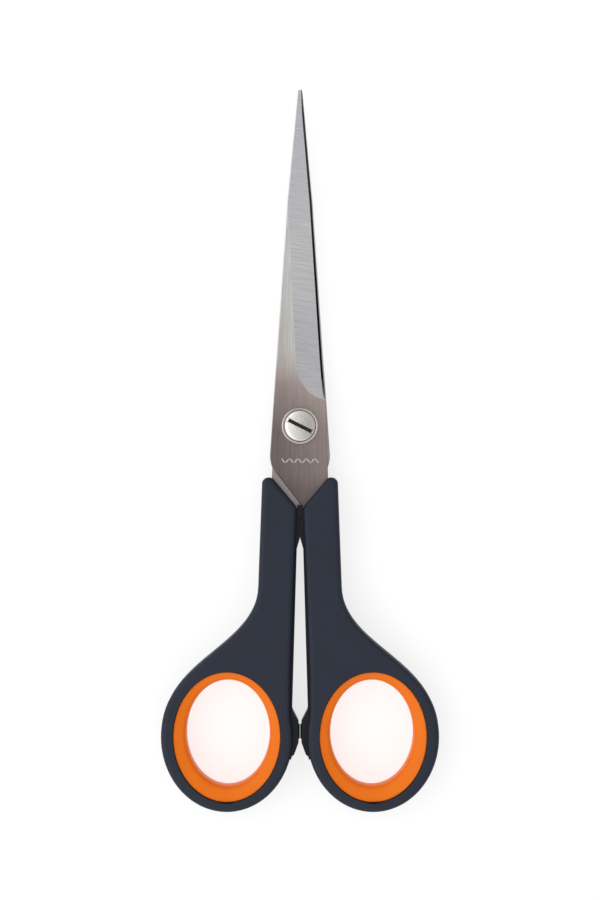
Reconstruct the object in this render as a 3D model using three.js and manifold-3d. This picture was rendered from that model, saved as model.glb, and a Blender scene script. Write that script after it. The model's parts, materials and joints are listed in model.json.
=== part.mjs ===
// Fabric shears with soft-grip handles and an adjustable pivot, closed and lying flat.
// Millimetres, +Z up. The tips point along +Y and the screw head faces up.
// Each half is built about the pivot in its own frame: the pivot axis is Z, and z = 0 is the
// plane in which the two blades meet. The rear half is the same set of pieces turned over
// about Y, so its blade lies underneath and its handle is on the other side.
import * as THREE from 'three';
import { mergeVertices } from 'three/addons/utils/BufferGeometryUtils.js';
import Module from 'manifold-3d';

const wasm = await Module();
wasm.setup();

// Clearances
const MOULD_GAP = 0.3; // round a piece held inside another
const RUNNING_GAP = 0.05; // between stacked faces of the pivot
const STOP_GAP = 0.1; // between the two stop pads, shears closed
const BORE_GAP = 0.1; // round a shank in its hole, on the radius

// Blades
const BLADE_REACH = 84; // pivot to tip
const BLADE_STOCK = 1.8; // sheet thickness
const BLADE_GAP = 0.3; // between the inner faces
const TIP_WIDTH = 1.15;
const TIP_SHIFT = 0.5; // the edge at the tip, past the middle
const TIP_CLIP = 0.5; // how far the spine ends short of the tip
const SHOULDER_Y = 55.5; // where the spine turns towards the tip
const SHOULDER_SPINE = 3.25; // spine from the middle there
const SHOULDER_EDGE = 2.95; // edge from the middle there
const HEEL_Y = 6.5; // where the cutting edge ends
const HEEL_EDGE = 6.35; // edge from the middle there
const SWEEP_LENGTH = 10.5; // how far above the heel the edge starts to sweep out
const SWEEP_EDGE = 5.45; // edge from the middle there
const ROOT_Y = -7.5; // where the blade is widest
const ROOT_SPINE = 7.5; // spine from the middle there
const ROOT_CORNER = 2.8; // the spine's corner below its widest place
const ROOT_CORNER_IN = 0.5; // how far that corner lies inside the widest place
const EDGE_THICKNESS = 0.4; // what the grinding leaves at the cutting edge
const GRIND_LINE_TOP = 3.1; // grind line left of the middle, level with the shoulder
const GRIND_LINE_LOW = 0.9; // grind line left of the middle, at its lower end
const GRIND_END_Y = 14; // lower end of the straight grind line
const TANG_END_Y = -44;
const TANG_INNER = 2.9; // tang from the middle
const TANG_OUTER = 6.5;
const TANG_NARROW = 1; // how much each side of the tang draws in towards its end
const TANG_SHOULDER = 1.2; // how deep the full blade goes into the handle

// Handles
const HANDLE_THICKNESS = 9.6;
const HANDLE_ROUND = 1.2; // rounded edge of the soft cover
const COLLAR_Y = -12.9; // top of the handle, beside the blade
const COLLAR_OUTER = 9.4; // outer side there
const COLLAR_ROUND = 1.5;
const NOTCH_OUTER = 7; // where the slanting edge that the blade enters starts
const NOTCH_INNER = 0.75; // inner side of the handle where that edge ends
const NOTCH_DEPTH = 7.4; // how far that edge drops
const WAIST_Y = -40;
const WAIST_OUTER = 10.4;
const CROTCH_DROP = 0.8; // the straight inner side ends this far below the top of the liner
const CROTCH_INNER = 2.3;
const FLARE_TOP_PULL = 15; // how strongly the waist's line leads into the flare
const FLARE_LOW_PULL = 17; // how strongly the loop's line leads into the flare
const FLARE_ANGLE = 8; // degrees above level where the flare joins the loop
const INNER_ANGLE = 165; // degrees where the loop joins the straight inner side

// Finger loops
const LOOP_INSET = 1.8; // rim from the middle
const LOOP_TOP_Y = -61.2; // top of the liner's outline
const LINER_HALF_WIDTH = 13.4;
const LINER_HALF_LENGTH = 16.2;
const RIM_SIDE = 3; // cover outside the liner, to the side
const RIM_END = 2.45; // cover outside the liner, at the bottom
const LINER_OUTSIDE = 3.35; // liner between its outline and the finger hole, on the outer side
const LINER_INSIDE = 2.75; // the same on the side that faces the other loop
const LINER_TOP = 2.1; // the same at the end nearer the blades
const LINER_BOTTOM = 4.1; // the same at the far end
const LINER_DROP = 0.5; // how far the liner's faces lie below the cover's
const LINER_ROUND = 0.8;

// Hard core inside the cover
const COVER_WALL = 1.5; // cover round the core's edge
const COVER_FACE = 1.2; // cover over the core's faces
const CORE_PROUD = 0.35; // how far the core's inner side stands out of the cover
const CORE_MEET_GAP = 0.1; // between the two cores where they meet under the blades
const CORE_MEET_LENGTH = 7;
const CORE_MEET_DROP = 0.6; // how far the meeting block starts below the blade
const CORE_MEET_DEPTH = 2.4; // how deep the meeting block is rooted in the core

// Closing stop
const STOP_RISE = 1.1; // middle of the stop above the middle of the loop
const STOP_FACE = 5; // length of the lug's flat face
const STOP_FLANK = 3.2; // length of each slanting flank
const STOP_LUG_X = 0.35; // lug's face from the middle
const STOP_ROOT = 1.6; // how deep the lug is rooted in the core
const STOP_MARGIN = 1; // how far the core's inner side runs past the lug
const STOP_DROP = 0.6; // lug's faces below the core's
const PAD_END = 0.7; // lug's flat face left past each end of the pad
const PAD_LIP = 0.8; // lug left above and below the pad's recess
const PAD_DEPTH = 1.25;

// Pivot
const SCREW_HEAD_R = 3.8;
const SCREW_HEAD_HEIGHT = 1.15;
const SCREW_SHANK_R = 1.5;
const SLOT_END = 0.55; // head left past each end of the slot
const SLOT_WIDTH = 0.85;
const SLOT_DEPTH = 0.7;
const SLOT_ANGLE = -26.6; // degrees from +X
const CUP_RIM = 0.6; // width of the cup's rim
const CUP_BASE = 0.5;
const CUP_RIM_HEIGHT = 1.05;
const CUP_GROOVE = 0.2; // dark gap between the head and the cup's rim
const SLEEVE_WALL = 0.8; // the nut's sleeve, on which both blades turn
const NUT_FLANGE = 1.8; // how far the nut stands out round its sleeve
const NUT_THICKNESS = 1.1;
const NUT_SLOT_WIDTH = 0.9;
const NUT_SLOT_DEPTH = 0.5;
const BLADE_WASHER_BAND = 2.1; // width of the ring
const SPRING_WASHER_BAND = 1.4;
const SPRING_WASHER_STOCK = 0.3;
const SPRING_WASHER_RISE = 0.25;

// Fineness of round shapes
const LOOP_SEGMENTS = 60;
const CURVE_SEGMENTS = 14;
const LATHE_SEGMENTS = 40;
const ROUND_STEPS = 2;
const FACING_SEGMENTS = 6; // on the part of each loop that faces the other
const SLIGHT_TURN = 0.05; // sine of a corner too slight to need its exact point
const SHARP_TURN = 0.5; // sine of a corner sharp enough for edges moved by different distances

const degrees = THREE.MathUtils.degToRad;
const point = (x, y) => new THREE.Vector2(x, y);

const BLADE_FACE = BLADE_GAP / 2 + BLADE_STOCK;
const HANDLE_HALF = HANDLE_THICKNESS / 2;
const CORE_HALF = HANDLE_HALF - COVER_FACE - MOULD_GAP;
const NOTCH_Y = COLLAR_Y - NOTCH_DEPTH;
const CROTCH_Y = LOOP_TOP_Y - CROTCH_DROP;
const LOOP_X = LOOP_INSET + RIM_SIDE + LINER_HALF_WIDTH;
const LOOP_Y = LOOP_TOP_Y - LINER_HALF_LENGTH;
const STOP_Y = LOOP_Y + STOP_RISE;
const PAD_FACE = STOP_GAP / 2;
const PAD_LENGTH = STOP_FACE - 2 * PAD_END;
const PAD_HALF_HEIGHT = CORE_HALF - STOP_DROP - PAD_LIP - MOULD_GAP;
const SHANK_BORE_R = SCREW_SHANK_R + BORE_GAP;
const SLEEVE_R = SHANK_BORE_R + SLEEVE_WALL;
const WASHER_BORE_R = SLEEVE_R + BORE_GAP;

// ---- solids ----

/** Closed solid of a three.js geometry, with shared corners joined. */
function solidOf(geometry) {
  const bare = geometry.clone();
  bare.deleteAttribute('normal');
  bare.deleteAttribute('uv');
  const merged = mergeVertices(bare);
  const corners = merged.index.array;
  const kept = [];
  for (let i = 0; i < corners.length; i += 3) {
    const [a, b, c] = [corners[i], corners[i + 1], corners[i + 2]];
    if (a !== b && b !== c && c !== a) kept.push(a, b, c);
  }
  const vertProperties = Float32Array.from(merged.attributes.position.array);
  const mesh = new wasm.Mesh({ numProp: 3, vertProperties, triVerts: Uint32Array.from(kept) });
  return new wasm.Manifold(mesh);
}

/** three.js geometry of a solid. */
function geometryOf(solid) {
  const { vertProperties, triVerts } = solid.getMesh();
  const geometry = new THREE.BufferGeometry();
  geometry.setAttribute('position', new THREE.BufferAttribute(vertProperties, 3));
  geometry.setIndex(new THREE.BufferAttribute(triVerts, 1));
  geometry.computeVertexNormals();
  return geometry;
}

/** Prism of an outline between two heights, with edges rounded by round. */
function prism(shape, low, high, round = 0) {
  const geometry = new THREE.ExtrudeGeometry(shape, {
    depth: high - low - 2 * round,
    curveSegments: CURVE_SEGMENTS,
    bevelEnabled: round > 0,
    bevelThickness: round,
    bevelSize: round,
    bevelOffset: -round,
    bevelSegments: ROUND_STEPS,
  });
  geometry.translate(0, 0, low + round);
  return geometry;
}

const prismSolid = (points, low, high) => solidOf(prism(new THREE.Shape(points), low, high));

/** Solid box between two corners. */
function boxSolid(low, high) {
  const size = new THREE.Vector3().subVectors(high, low);
  const middle = new THREE.Vector3().addVectors(low, high).multiplyScalar(0.5);
  const geometry = new THREE.BoxGeometry(size.x, size.y, size.z);
  geometry.translate(middle.x, middle.y, middle.z);
  return solidOf(geometry);
}

/** Solid turned about Z from (radius, height) pairs that close on the axis or on themselves. */
function turnedSolid(profile) {
  const points = profile.map(([radius, height]) => point(radius, height));
  const geometry = new THREE.LatheGeometry(points, LATHE_SEGMENTS);
  geometry.rotateX(Math.PI / 2);
  const solid = solidOf(geometry);
  return solid.volume() < 0 ? solidOf(flipped(geometry)) : solid;
}

/** The same geometry with every face pointing the other way. */
function flipped(geometry) {
  const result = geometry.clone();
  const corners = result.index.array;
  for (let i = 0; i < corners.length; i += 3) {
    [corners[i], corners[i + 1]] = [corners[i + 1], corners[i]];
  }
  return result;
}

/** Flat ring or tube about Z. */
const tubeSolid = (inner, outer, low, high) =>
  turnedSolid([[inner, low], [outer, low], [outer, high], [inner, high], [inner, low]]);

// ---- outlines ----

/** Points of an ellipse about the loop's centre, from one angle to another, in degrees. */
function ellipsePoints(centre, halfWidth, halfLength, from, to, segments) {
  return Array.from({ length: segments + 1 }, (_, i) => {
    const angle = degrees(from + ((to - from) * i) / segments);
    return point(centre.x + halfWidth * Math.cos(angle), centre.y + halfLength * Math.sin(angle));
  });
}

/** Closed ellipse, grown by a distance all round. */
function ellipseLoop(centre, halfWidth, halfLength, grow = 0) {
  const round = ellipsePoints(centre, halfWidth + grow, halfLength + grow, 0, 360, LOOP_SEGMENTS);
  return round.slice(0, -1);
}

/** Cubic curve without its first point. */
function curvePoints(start, pullStart, pullEnd, end) {
  return new THREE.CubicBezierCurve(start, pullStart, pullEnd, end).getPoints(CURVE_SEGMENTS).slice(1);
}

/** Quadratic curve without its first point. */
function bendPoints(start, corner, end, segments = CURVE_SEGMENTS) {
  return new THREE.QuadraticBezierCurve(start, corner, end).getPoints(segments).slice(1);
}

/**
 * Moves each edge of a closed outline outwards by its own distance, or inwards if it is
 * negative. The outline runs clockwise, and distances[i] belongs to the edge after points[i].
 */
function offsetOutline(points, distances) {
  const count = points.length;
  const result = [];
  for (let i = 0; i < count; i += 1) {
    const before = (i + count - 1) % count;
    const arriving = points[i].clone().sub(points[before]).normalize();
    const leaving = points[(i + 1) % count].clone().sub(points[i]).normalize();
    const first = shifted(points[i], arriving, distances[before]);
    const second = shifted(points[i], leaving, distances[i]);
    const turn = arriving.cross(leaving);
    const stepped = distances[before] !== distances[i];
    if (Math.abs(turn) > (stepped ? SHARP_TURN : SLIGHT_TURN)) {
      const along = second.clone().sub(first).cross(leaving) / turn;
      result.push(first.add(arriving.multiplyScalar(along)));
    } else if (stepped) {
      result.push(first, second);
    } else {
      result.push(first.add(second).multiplyScalar(0.5));
    }
  }
  return result;
}

/** A point moved to the left of a direction, which is outwards on a clockwise outline. */
function shifted(from, direction, distance) {
  return point(from.x - direction.y * distance, from.y + direction.x * distance);
}

/** Angle in degrees at which the loop's outline is a distance past the end of the closing lug. */
function openAngle(halfLength, past) {
  const lugEnd = STOP_Y - STOP_FACE / 2 - STOP_FLANK - past;
  return 180 + THREE.MathUtils.radToDeg(Math.asin((LOOP_Y - lugEnd) / halfLength));
}

/** The collar's outer corner: rounded, or sharp and beside the shank where it is set in. */
function collarSides(shankEnd, sharp) {
  const low = point(NOTCH_INNER, NOTCH_Y);
  const high = point(NOTCH_OUTER, COLLAR_Y);
  if (sharp) {
    const apex = high.clone().sub(low).multiplyScalar((COLLAR_OUTER - low.x) / (high.x - low.x)).add(low);
    return { notch: [low, apex], corner: [] };
  }
  const centre = point(shankEnd.x - COLLAR_ROUND, shankEnd.y);
  return { notch: [low, high], corner: ellipsePoints(centre, COLLAR_ROUND, COLLAR_ROUND, 90, 0, 4) };
}

/**
 * Outline of one handle by side, clockwise from the inner end of the slanting edge. The inner
 * side starts a distance past the closing lug.
 */
function handleSides(sharp, past) {
  const centre = point(LOOP_X, LOOP_Y);
  const halfWidth = LINER_HALF_WIDTH + RIM_SIDE;
  const halfLength = LINER_HALF_LENGTH + RIM_END;
  const open = openAngle(halfLength, past) - 360;
  const loop = ellipsePoints(centre, halfWidth, halfLength, FLARE_ANGLE, open, LOOP_SEGMENTS / 2);
  const facing = ellipsePoints(centre, halfWidth, halfLength, open, INNER_ANGLE - 360, FACING_SEGMENTS);
  const shankTop = point(COLLAR_OUTER, COLLAR_Y - COLLAR_ROUND);
  const waist = point(WAIST_OUTER, WAIST_Y);
  const shankLine = waist.clone().sub(shankTop).normalize();
  const loopLine = loop[1].clone().sub(loop[0]).normalize();
  const flare = curvePoints(
    waist,
    waist.clone().addScaledVector(shankLine, FLARE_TOP_PULL),
    loop[0].clone().addScaledVector(loopLine, -FLARE_LOW_PULL),
    loop[0]);
  const { notch, corner } = collarSides(shankTop, sharp);
  return {
    notch,
    outer: [...corner, waist, ...flare, ...loop.slice(1)],
    inner: [...facing.slice(1), point(CROTCH_INNER, CROTCH_Y)],
  };
}

/** The handle's outline itself. */
function handleOutline() {
  const { notch, outer, inner } = handleSides(false, STOP_MARGIN);
  return [...notch, ...outer, ...inner];
}

/** The handle's outline with its slanting edge, outer side and inner side moved separately. */
function movedOutline(notchBy, outerBy, innerBy, past) {
  const { notch, outer, inner } = handleSides(true, past);
  const points = [...notch, ...outer, ...inner];
  const distances = points.map((_, i) => {
    if (i < notch.length - 1) return notchBy;
    return i < notch.length + outer.length - 1 ? outerBy : innerBy;
  });
  return offsetOutline(points, distances);
}

/** Outline of the front blade with its tang, clockwise from the tip. */
function bladeOutline() {
  const tip = point(TIP_SHIFT, BLADE_REACH);
  const sweep = point(SWEEP_EDGE, HEEL_Y + SWEEP_LENGTH);
  const heel = point(HEEL_EDGE, HEEL_Y);
  const slant = point(NOTCH_INNER - NOTCH_OUTER, -NOTCH_DEPTH).normalize();
  const into = point(-slant.y, slant.x).multiplyScalar(TANG_SHOULDER);
  const entryTop = point(NOTCH_OUTER, COLLAR_Y);
  const entryLow = point(NOTCH_INNER, NOTCH_Y);
  const shoulderTop = entryTop.clone().add(into);
  const shoulderLow = entryLow.clone().add(into);
  return [
    tip,
    point(SHOULDER_EDGE, SHOULDER_Y),
    sweep,
    ...bendPoints(sweep, point((SWEEP_EDGE + HEEL_EDGE) / 2, (sweep.y + HEEL_Y) / 2), heel, 5),
    entryTop,
    shoulderTop,
    point(TANG_OUTER, shoulderTop.y - TANG_SHOULDER),
    point(TANG_OUTER - TANG_NARROW, TANG_END_Y),
    point(TANG_INNER + TANG_NARROW, TANG_END_Y),
    point(TANG_INNER, shoulderLow.y - TANG_SHOULDER),
    shoulderLow,
    entryLow,
    point(ROOT_CORNER_IN - ROOT_SPINE, ROOT_Y - ROOT_CORNER),
    point(-ROOT_SPINE, ROOT_Y),
    point(-SHOULDER_SPINE, SHOULDER_Y),
    point(TIP_SHIFT - TIP_WIDTH, BLADE_REACH - TIP_CLIP),
  ];
}

// ---- pieces of one half ----

/** What grinding takes off: everything above a sloping plane, right of the grind line. */
function grindCutter() {
  const top = point(-GRIND_LINE_TOP, SHOULDER_Y);
  const low = point(-GRIND_LINE_LOW, GRIND_END_Y);
  const along = top.clone().sub(low).normalize();
  const across = point(along.y, -along.x);
  const beyond = low.clone().addScaledVector(along, BLADE_REACH);
  const heel = point(HEEL_EDGE, HEEL_Y);
  const clear = point(HEEL_EDGE + ROOT_SPINE, HEEL_Y);
  const shape = new THREE.Shape([
    low, beyond, point(clear.x, beyond.y), clear, heel,
    ...bendPoints(heel, point(GRIND_LINE_LOW, HEEL_Y + 1), low, 8).slice(0, -1),
  ]);
  const cutter = prism(shape, 0, 3 * BLADE_STOCK);
  const width = point(SWEEP_EDGE, HEEL_Y + SWEEP_LENGTH).sub(low).dot(across);
  const fall = (BLADE_STOCK - EDGE_THICKNESS) / width;
  cutter.applyMatrix4(new THREE.Matrix4().set(
    1, 0, 0, 0,
    0, 1, 0, 0,
    -fall * across.x, -fall * across.y, 1, BLADE_FACE + fall * across.dot(low),
    0, 0, 0, 1));
  return solidOf(cutter);
}

function bladeSolid() {
  const sheet = prismSolid(bladeOutline(), BLADE_GAP / 2, BLADE_FACE);
  const bore = tubeBore(SLEEVE_R + BORE_GAP);
  return sheet.subtract(grindCutter()).subtract(bore);
}

/** Round cutter through the whole part on the pivot axis. */
function tubeBore(radius) {
  const reach = HANDLE_THICKNESS;
  return turnedSolid([[0, -reach], [radius, -reach], [radius, reach], [0, reach]]);
}

/** Room for the blade where it enters the handle. */
function tangPocket() {
  const outline = bladeOutline();
  const grown = offsetOutline(outline, outline.map(() => MOULD_GAP));
  return prismSolid(grown, BLADE_GAP / 2 - MOULD_GAP, BLADE_FACE + MOULD_GAP);
}

/** Prism of the liner's outline, grown by a gap, through the whole handle. */
function linerBore() {
  const round = ellipseLoop(point(LOOP_X, LOOP_Y), LINER_HALF_WIDTH, LINER_HALF_LENGTH, MOULD_GAP);
  return prismSolid(round, -HANDLE_THICKNESS, HANDLE_THICKNESS);
}

/** The closing lug's outline: a flat face between two slanting flanks. */
function lugOutline() {
  const root = CROTCH_INNER + STOP_ROOT;
  const half = STOP_FACE / 2;
  return [
    point(root, STOP_Y + half + STOP_FLANK),
    point(root, STOP_Y - half - STOP_FLANK),
    point(CROTCH_INNER - CORE_PROUD, STOP_Y - half - STOP_FLANK),
    point(STOP_LUG_X, STOP_Y - half),
    point(STOP_LUG_X, STOP_Y + half),
    point(CROTCH_INNER - CORE_PROUD, STOP_Y + half + STOP_FLANK),
  ];
}

/** The block on which the cores meet under the blades, with its top along the slanting edge. */
function meetingOutline() {
  const slope = NOTCH_DEPTH / (NOTCH_OUTER - NOTCH_INNER);
  const topAt = (x) => NOTCH_Y + (x - NOTCH_INNER) * slope - COVER_WALL * Math.hypot(1, slope);
  const [near, lip, far] = [CORE_MEET_GAP / 2, NOTCH_INNER - MOULD_GAP, CORE_MEET_DEPTH];
  const top = NOTCH_Y - CORE_MEET_DROP;
  const low = topAt(near) - CORE_MEET_LENGTH;
  return [
    point(near, top), point(lip, top), point(lip, topAt(lip)),
    point(far, topAt(far)), point(far, low), point(near, low),
  ];
}

/** Box of the stop pad, grown by a gap. */
function padBox(grow) {
  return boxSolid(
    new THREE.Vector3(PAD_FACE - grow, STOP_Y - PAD_LENGTH / 2 - grow, -PAD_HALF_HEIGHT - grow),
    new THREE.Vector3(PAD_FACE + PAD_DEPTH + grow, STOP_Y + PAD_LENGTH / 2 + grow, PAD_HALF_HEIGHT + grow));
}

function coreSolid() {
  const notchBy = -COVER_WALL;
  const outerBy = -COVER_WALL - MOULD_GAP;
  const body = prismSolid(movedOutline(notchBy, outerBy, CORE_PROUD, STOP_MARGIN), -CORE_HALF, CORE_HALF);
  const meeting = prismSolid(meetingOutline(), -CORE_HALF, CORE_HALF);
  const lug = prismSolid(lugOutline(), STOP_DROP - CORE_HALF, CORE_HALF - STOP_DROP);
  return body.add(meeting).add(lug).subtract(linerBore()).subtract(tangPocket()).subtract(padBox(MOULD_GAP));
}

function coverSolid() {
  const shape = new THREE.Shape(handleOutline());
  const body = solidOf(prism(shape, -HANDLE_HALF, HANDLE_HALF, HANDLE_ROUND));
  const reach = CORE_HALF + MOULD_GAP;
  const opened = CROTCH_INNER + CORE_PROUD;
  const room = movedOutline(MOULD_GAP - COVER_WALL, -COVER_WALL, opened, STOP_MARGIN + MOULD_GAP);
  const channel = prismSolid(room, -reach, reach);
  return body.subtract(channel).subtract(linerBore()).subtract(tangPocket());
}

function linerSolid() {
  const shape = new THREE.Shape(ellipseLoop(point(LOOP_X, LOOP_Y), LINER_HALF_WIDTH, LINER_HALF_LENGTH));
  const holeCentre = point(
    LOOP_X + (LINER_INSIDE - LINER_OUTSIDE) / 2,
    LOOP_Y + (LINER_BOTTOM - LINER_TOP) / 2);
  const holeHalfWidth = LINER_HALF_WIDTH - (LINER_OUTSIDE + LINER_INSIDE) / 2;
  const holeHalfLength = LINER_HALF_LENGTH - (LINER_TOP + LINER_BOTTOM) / 2;
  const hole = ellipseLoop(holeCentre, holeHalfWidth, holeHalfLength);
  shape.holes.push(new THREE.Path(hole));
  const half = HANDLE_HALF - LINER_DROP;
  return solidOf(prism(shape, -half, half, LINER_ROUND));
}

// ---- pieces of the pivot, from the top down ----

const CUP_LOW = BLADE_FACE + RUNNING_GAP;
const CUP_SEAT = CUP_LOW + CUP_BASE;
const HEAD_LOW = CUP_SEAT + RUNNING_GAP;
const SPRING_TOP = -BLADE_FACE - RUNNING_GAP;
const NUT_TOP = SPRING_TOP - SPRING_WASHER_STOCK - SPRING_WASHER_RISE - RUNNING_GAP;
const NUT_LOW = NUT_TOP - NUT_THICKNESS;
const SCREW_END = NUT_LOW + NUT_SLOT_DEPTH + 2 * BORE_GAP;

/** Box slot across the axis, turned by an angle in degrees. */
function slotSolid(length, width, low, high, angle) {
  const geometry = new THREE.BoxGeometry(length, width, high - low);
  geometry.translate(0, 0, (low + high) / 2);
  geometry.rotateZ(degrees(angle));
  return solidOf(geometry);
}

function screwSolid() {
  const chamfer = SLOT_DEPTH / 3;
  const top = HEAD_LOW + SCREW_HEAD_HEIGHT;
  const body = turnedSolid([
    [0, SCREW_END], [SCREW_SHANK_R, SCREW_END], [SCREW_SHANK_R, HEAD_LOW],
    [SCREW_HEAD_R, HEAD_LOW], [SCREW_HEAD_R, top - chamfer], [SCREW_HEAD_R - chamfer, top], [0, top],
  ]);
  const length = 2 * (SCREW_HEAD_R - SLOT_END);
  return body.subtract(slotSolid(length, SLOT_WIDTH, top - SLOT_DEPTH, top + SLOT_DEPTH, SLOT_ANGLE));
}

function cupSolid() {
  const rim = SCREW_HEAD_R + CUP_GROOVE;
  const outer = rim + CUP_RIM;
  const top = CUP_LOW + CUP_RIM_HEIGHT;
  const chamfer = CUP_RIM / 3;
  return turnedSolid([
    [SHANK_BORE_R, CUP_LOW], [outer, CUP_LOW], [outer, top - chamfer], [outer - chamfer, top],
    [rim + chamfer, top], [rim, top - chamfer], [rim, CUP_SEAT], [SHANK_BORE_R, CUP_SEAT],
    [SHANK_BORE_R, CUP_LOW],
  ]);
}

function bladeWasherSolid() {
  const half = BLADE_GAP / 2 - RUNNING_GAP;
  return tubeSolid(WASHER_BORE_R, WASHER_BORE_R + BLADE_WASHER_BAND, -half, half);
}

/** Dished washer: its outer edge is lower than its inner one. */
function springWasherSolid() {
  const low = SPRING_TOP - SPRING_WASHER_RISE;
  const stock = SPRING_WASHER_STOCK;
  const outer = WASHER_BORE_R + SPRING_WASHER_BAND;
  return turnedSolid([
    [WASHER_BORE_R, SPRING_TOP - stock], [outer, low - stock], [outer, low],
    [WASHER_BORE_R, SPRING_TOP], [WASHER_BORE_R, SPRING_TOP - stock],
  ]);
}

/** Round nut with a sleeve that reaches up through both blades, and a slot to hold it by. */
function nutSolid() {
  const sleeveTop = BLADE_FACE;
  const outer = SLEEVE_R + NUT_FLANGE;
  const body = turnedSolid([
    [SHANK_BORE_R, NUT_LOW], [outer, NUT_LOW], [outer, NUT_TOP], [SLEEVE_R, NUT_TOP],
    [SLEEVE_R, sleeveTop], [SHANK_BORE_R, sleeveTop], [SHANK_BORE_R, NUT_LOW],
  ]);
  const slot = slotSolid(4 * outer, NUT_SLOT_WIDTH, NUT_LOW - 1, NUT_LOW + NUT_SLOT_DEPTH, 0);
  return body.subtract(slot);
}

// ---- assembly ----

const FINISHES = {
  blade: { color: 0xb4b4b5, roughness: 0.32, metalness: 1 },
  screw: { color: 0xe4e0dc, roughness: 0.25, metalness: 1 },
  cup: { color: 0xcfcac6, roughness: 0.3, metalness: 1 },
  nut: { color: 0xb9b6b2, roughness: 0.35, metalness: 1 },
  washer: { color: 0xd8d4c8, roughness: 0.5, metalness: 0 },
  core: { color: 0x1a1a22, roughness: 0.45, metalness: 0 },
  cover: { color: 0x363a45, roughness: 0.7, metalness: 0 },
  liner: { color: 0xf07a24, roughness: 0.5, metalness: 0 },
  pad: { color: 0x202026, roughness: 0.8, metalness: 0 },
};

function addPiece(group, name, solid, finish) {
  const mesh = new THREE.Mesh(geometryOf(solid), new THREE.MeshStandardMaterial(FINISHES[finish]));
  mesh.name = name;
  group.add(mesh);
}

/** One half: a blade with its handle. */
function buildHalf(bladeName, side) {
  const half = new THREE.Group();
  addPiece(half, bladeName, bladeSolid(), 'blade');
  addPiece(half, `${side}_handle_core`, coreSolid(), 'core');
  addPiece(half, `${side}_soft_grip`, coverSolid(), 'cover');
  addPiece(half, `${side}_loop_liner`, linerSolid(), 'liner');
  addPiece(half, `${side}_stop_pad`, padBox(0), 'pad');
  return half;
}

function buildPivot() {
  const pivot = new THREE.Group();
  addPiece(pivot, 'pivot_screw', screwSolid(), 'screw');
  addPiece(pivot, 'screw_cup_washer', cupSolid(), 'cup');
  addPiece(pivot, 'blade_washer', bladeWasherSolid(), 'washer');
  addPiece(pivot, 'spring_washer', springWasherSolid(), 'nut');
  addPiece(pivot, 'pivot_sleeve_nut', nutSolid(), 'nut');
  return pivot;
}

const group = new THREE.Group();
const frontHalf = buildHalf('front_blade', 'right');
const rearHalf = buildHalf('rear_blade', 'left');
rearHalf.rotation.y = Math.PI;
group.add(frontHalf, rearHalf, buildPivot());

// The part's origin is the middle of its box, on the surface that it lies on.
const lowestY = LOOP_Y - LINER_HALF_LENGTH - RIM_END;
group.position.set(0, -(BLADE_REACH + lowestY) / 2, HANDLE_HALF);

export default group;
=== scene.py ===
"""Fabric shears with soft-grip handles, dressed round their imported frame.

Sizes are millimetres in the frame of one half: the pivot axis is Z, the tips point along +Y,
and z = 0 is the plane in which the two blades meet. The rear half is the same set of pieces
turned over about Y. Pieces are placed in the row frame, in metres.
"""
from __future__ import annotations

import json
import logging
import math
from dataclasses import dataclass
from enum import Enum, IntEnum

import bmesh
import bpy
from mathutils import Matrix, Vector
from mathutils.geometry import tessellate_polygon


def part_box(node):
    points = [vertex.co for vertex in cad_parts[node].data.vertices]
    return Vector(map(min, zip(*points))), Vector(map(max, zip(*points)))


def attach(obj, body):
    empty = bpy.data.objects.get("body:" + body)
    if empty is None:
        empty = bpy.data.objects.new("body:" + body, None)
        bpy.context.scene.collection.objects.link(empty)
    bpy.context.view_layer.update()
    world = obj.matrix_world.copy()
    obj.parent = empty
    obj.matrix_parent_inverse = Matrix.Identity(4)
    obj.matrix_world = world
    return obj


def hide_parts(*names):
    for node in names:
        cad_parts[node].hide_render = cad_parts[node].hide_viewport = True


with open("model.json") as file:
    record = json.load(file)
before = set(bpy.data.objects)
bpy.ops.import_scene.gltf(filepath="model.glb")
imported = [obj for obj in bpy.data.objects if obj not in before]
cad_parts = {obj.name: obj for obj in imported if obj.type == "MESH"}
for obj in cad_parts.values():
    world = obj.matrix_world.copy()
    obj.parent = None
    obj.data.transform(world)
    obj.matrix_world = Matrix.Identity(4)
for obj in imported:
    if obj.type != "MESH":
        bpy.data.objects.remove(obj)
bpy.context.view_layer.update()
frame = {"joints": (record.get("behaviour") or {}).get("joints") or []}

LOG = logging.getLogger("shears")
MM = 0.001
PIVOT = Vector(next(j for j in frame["joints"] if j["name"] == "blade_pivot")["pos_m"]) / MM
PLATE_STEPS = 6
ROUND_STEPS = 128

Piece = bpy.types.Object
Material = bpy.types.Material
Tree = bpy.types.NodeTree
Socket = bpy.types.NodeSocket
Point = tuple[float, float]
Outline = list[Point]
Solid = tuple[list[tuple[float, float, float]], list[tuple[int, ...]]]


class Half(Enum):
    """The two halves of the shears."""

    FRONT = ("front_half", "front_blade", "right", 1.0)
    REAR = ("rear_half", "rear_blade", "left", -1.0)

    def __init__(self, body: str, blade: str, side: str, turn: float) -> None:
        """Names what makes a half.

        Args:
            body: its moving body.
            blade: its blade's CAD node.
            side: side on which its handle lies.
            turn: 1 as built, -1 turned over about Y.
        """
        self.body = body
        self.blade = blade
        self.side = side
        self.turn = turn


class Direction(Enum):
    """Which way the marks of a steel finish run."""

    LENGTHWISE = "lengthwise"
    ACROSS = "across"
    ROUND = "round"


class Face(IntEnum):
    """Faces of a blade, in the order of its finishes."""

    FLAT = 0
    GROUND = 1
    HONED = 2
    INNER = 3


# ---- shapes in the plane ----


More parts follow.
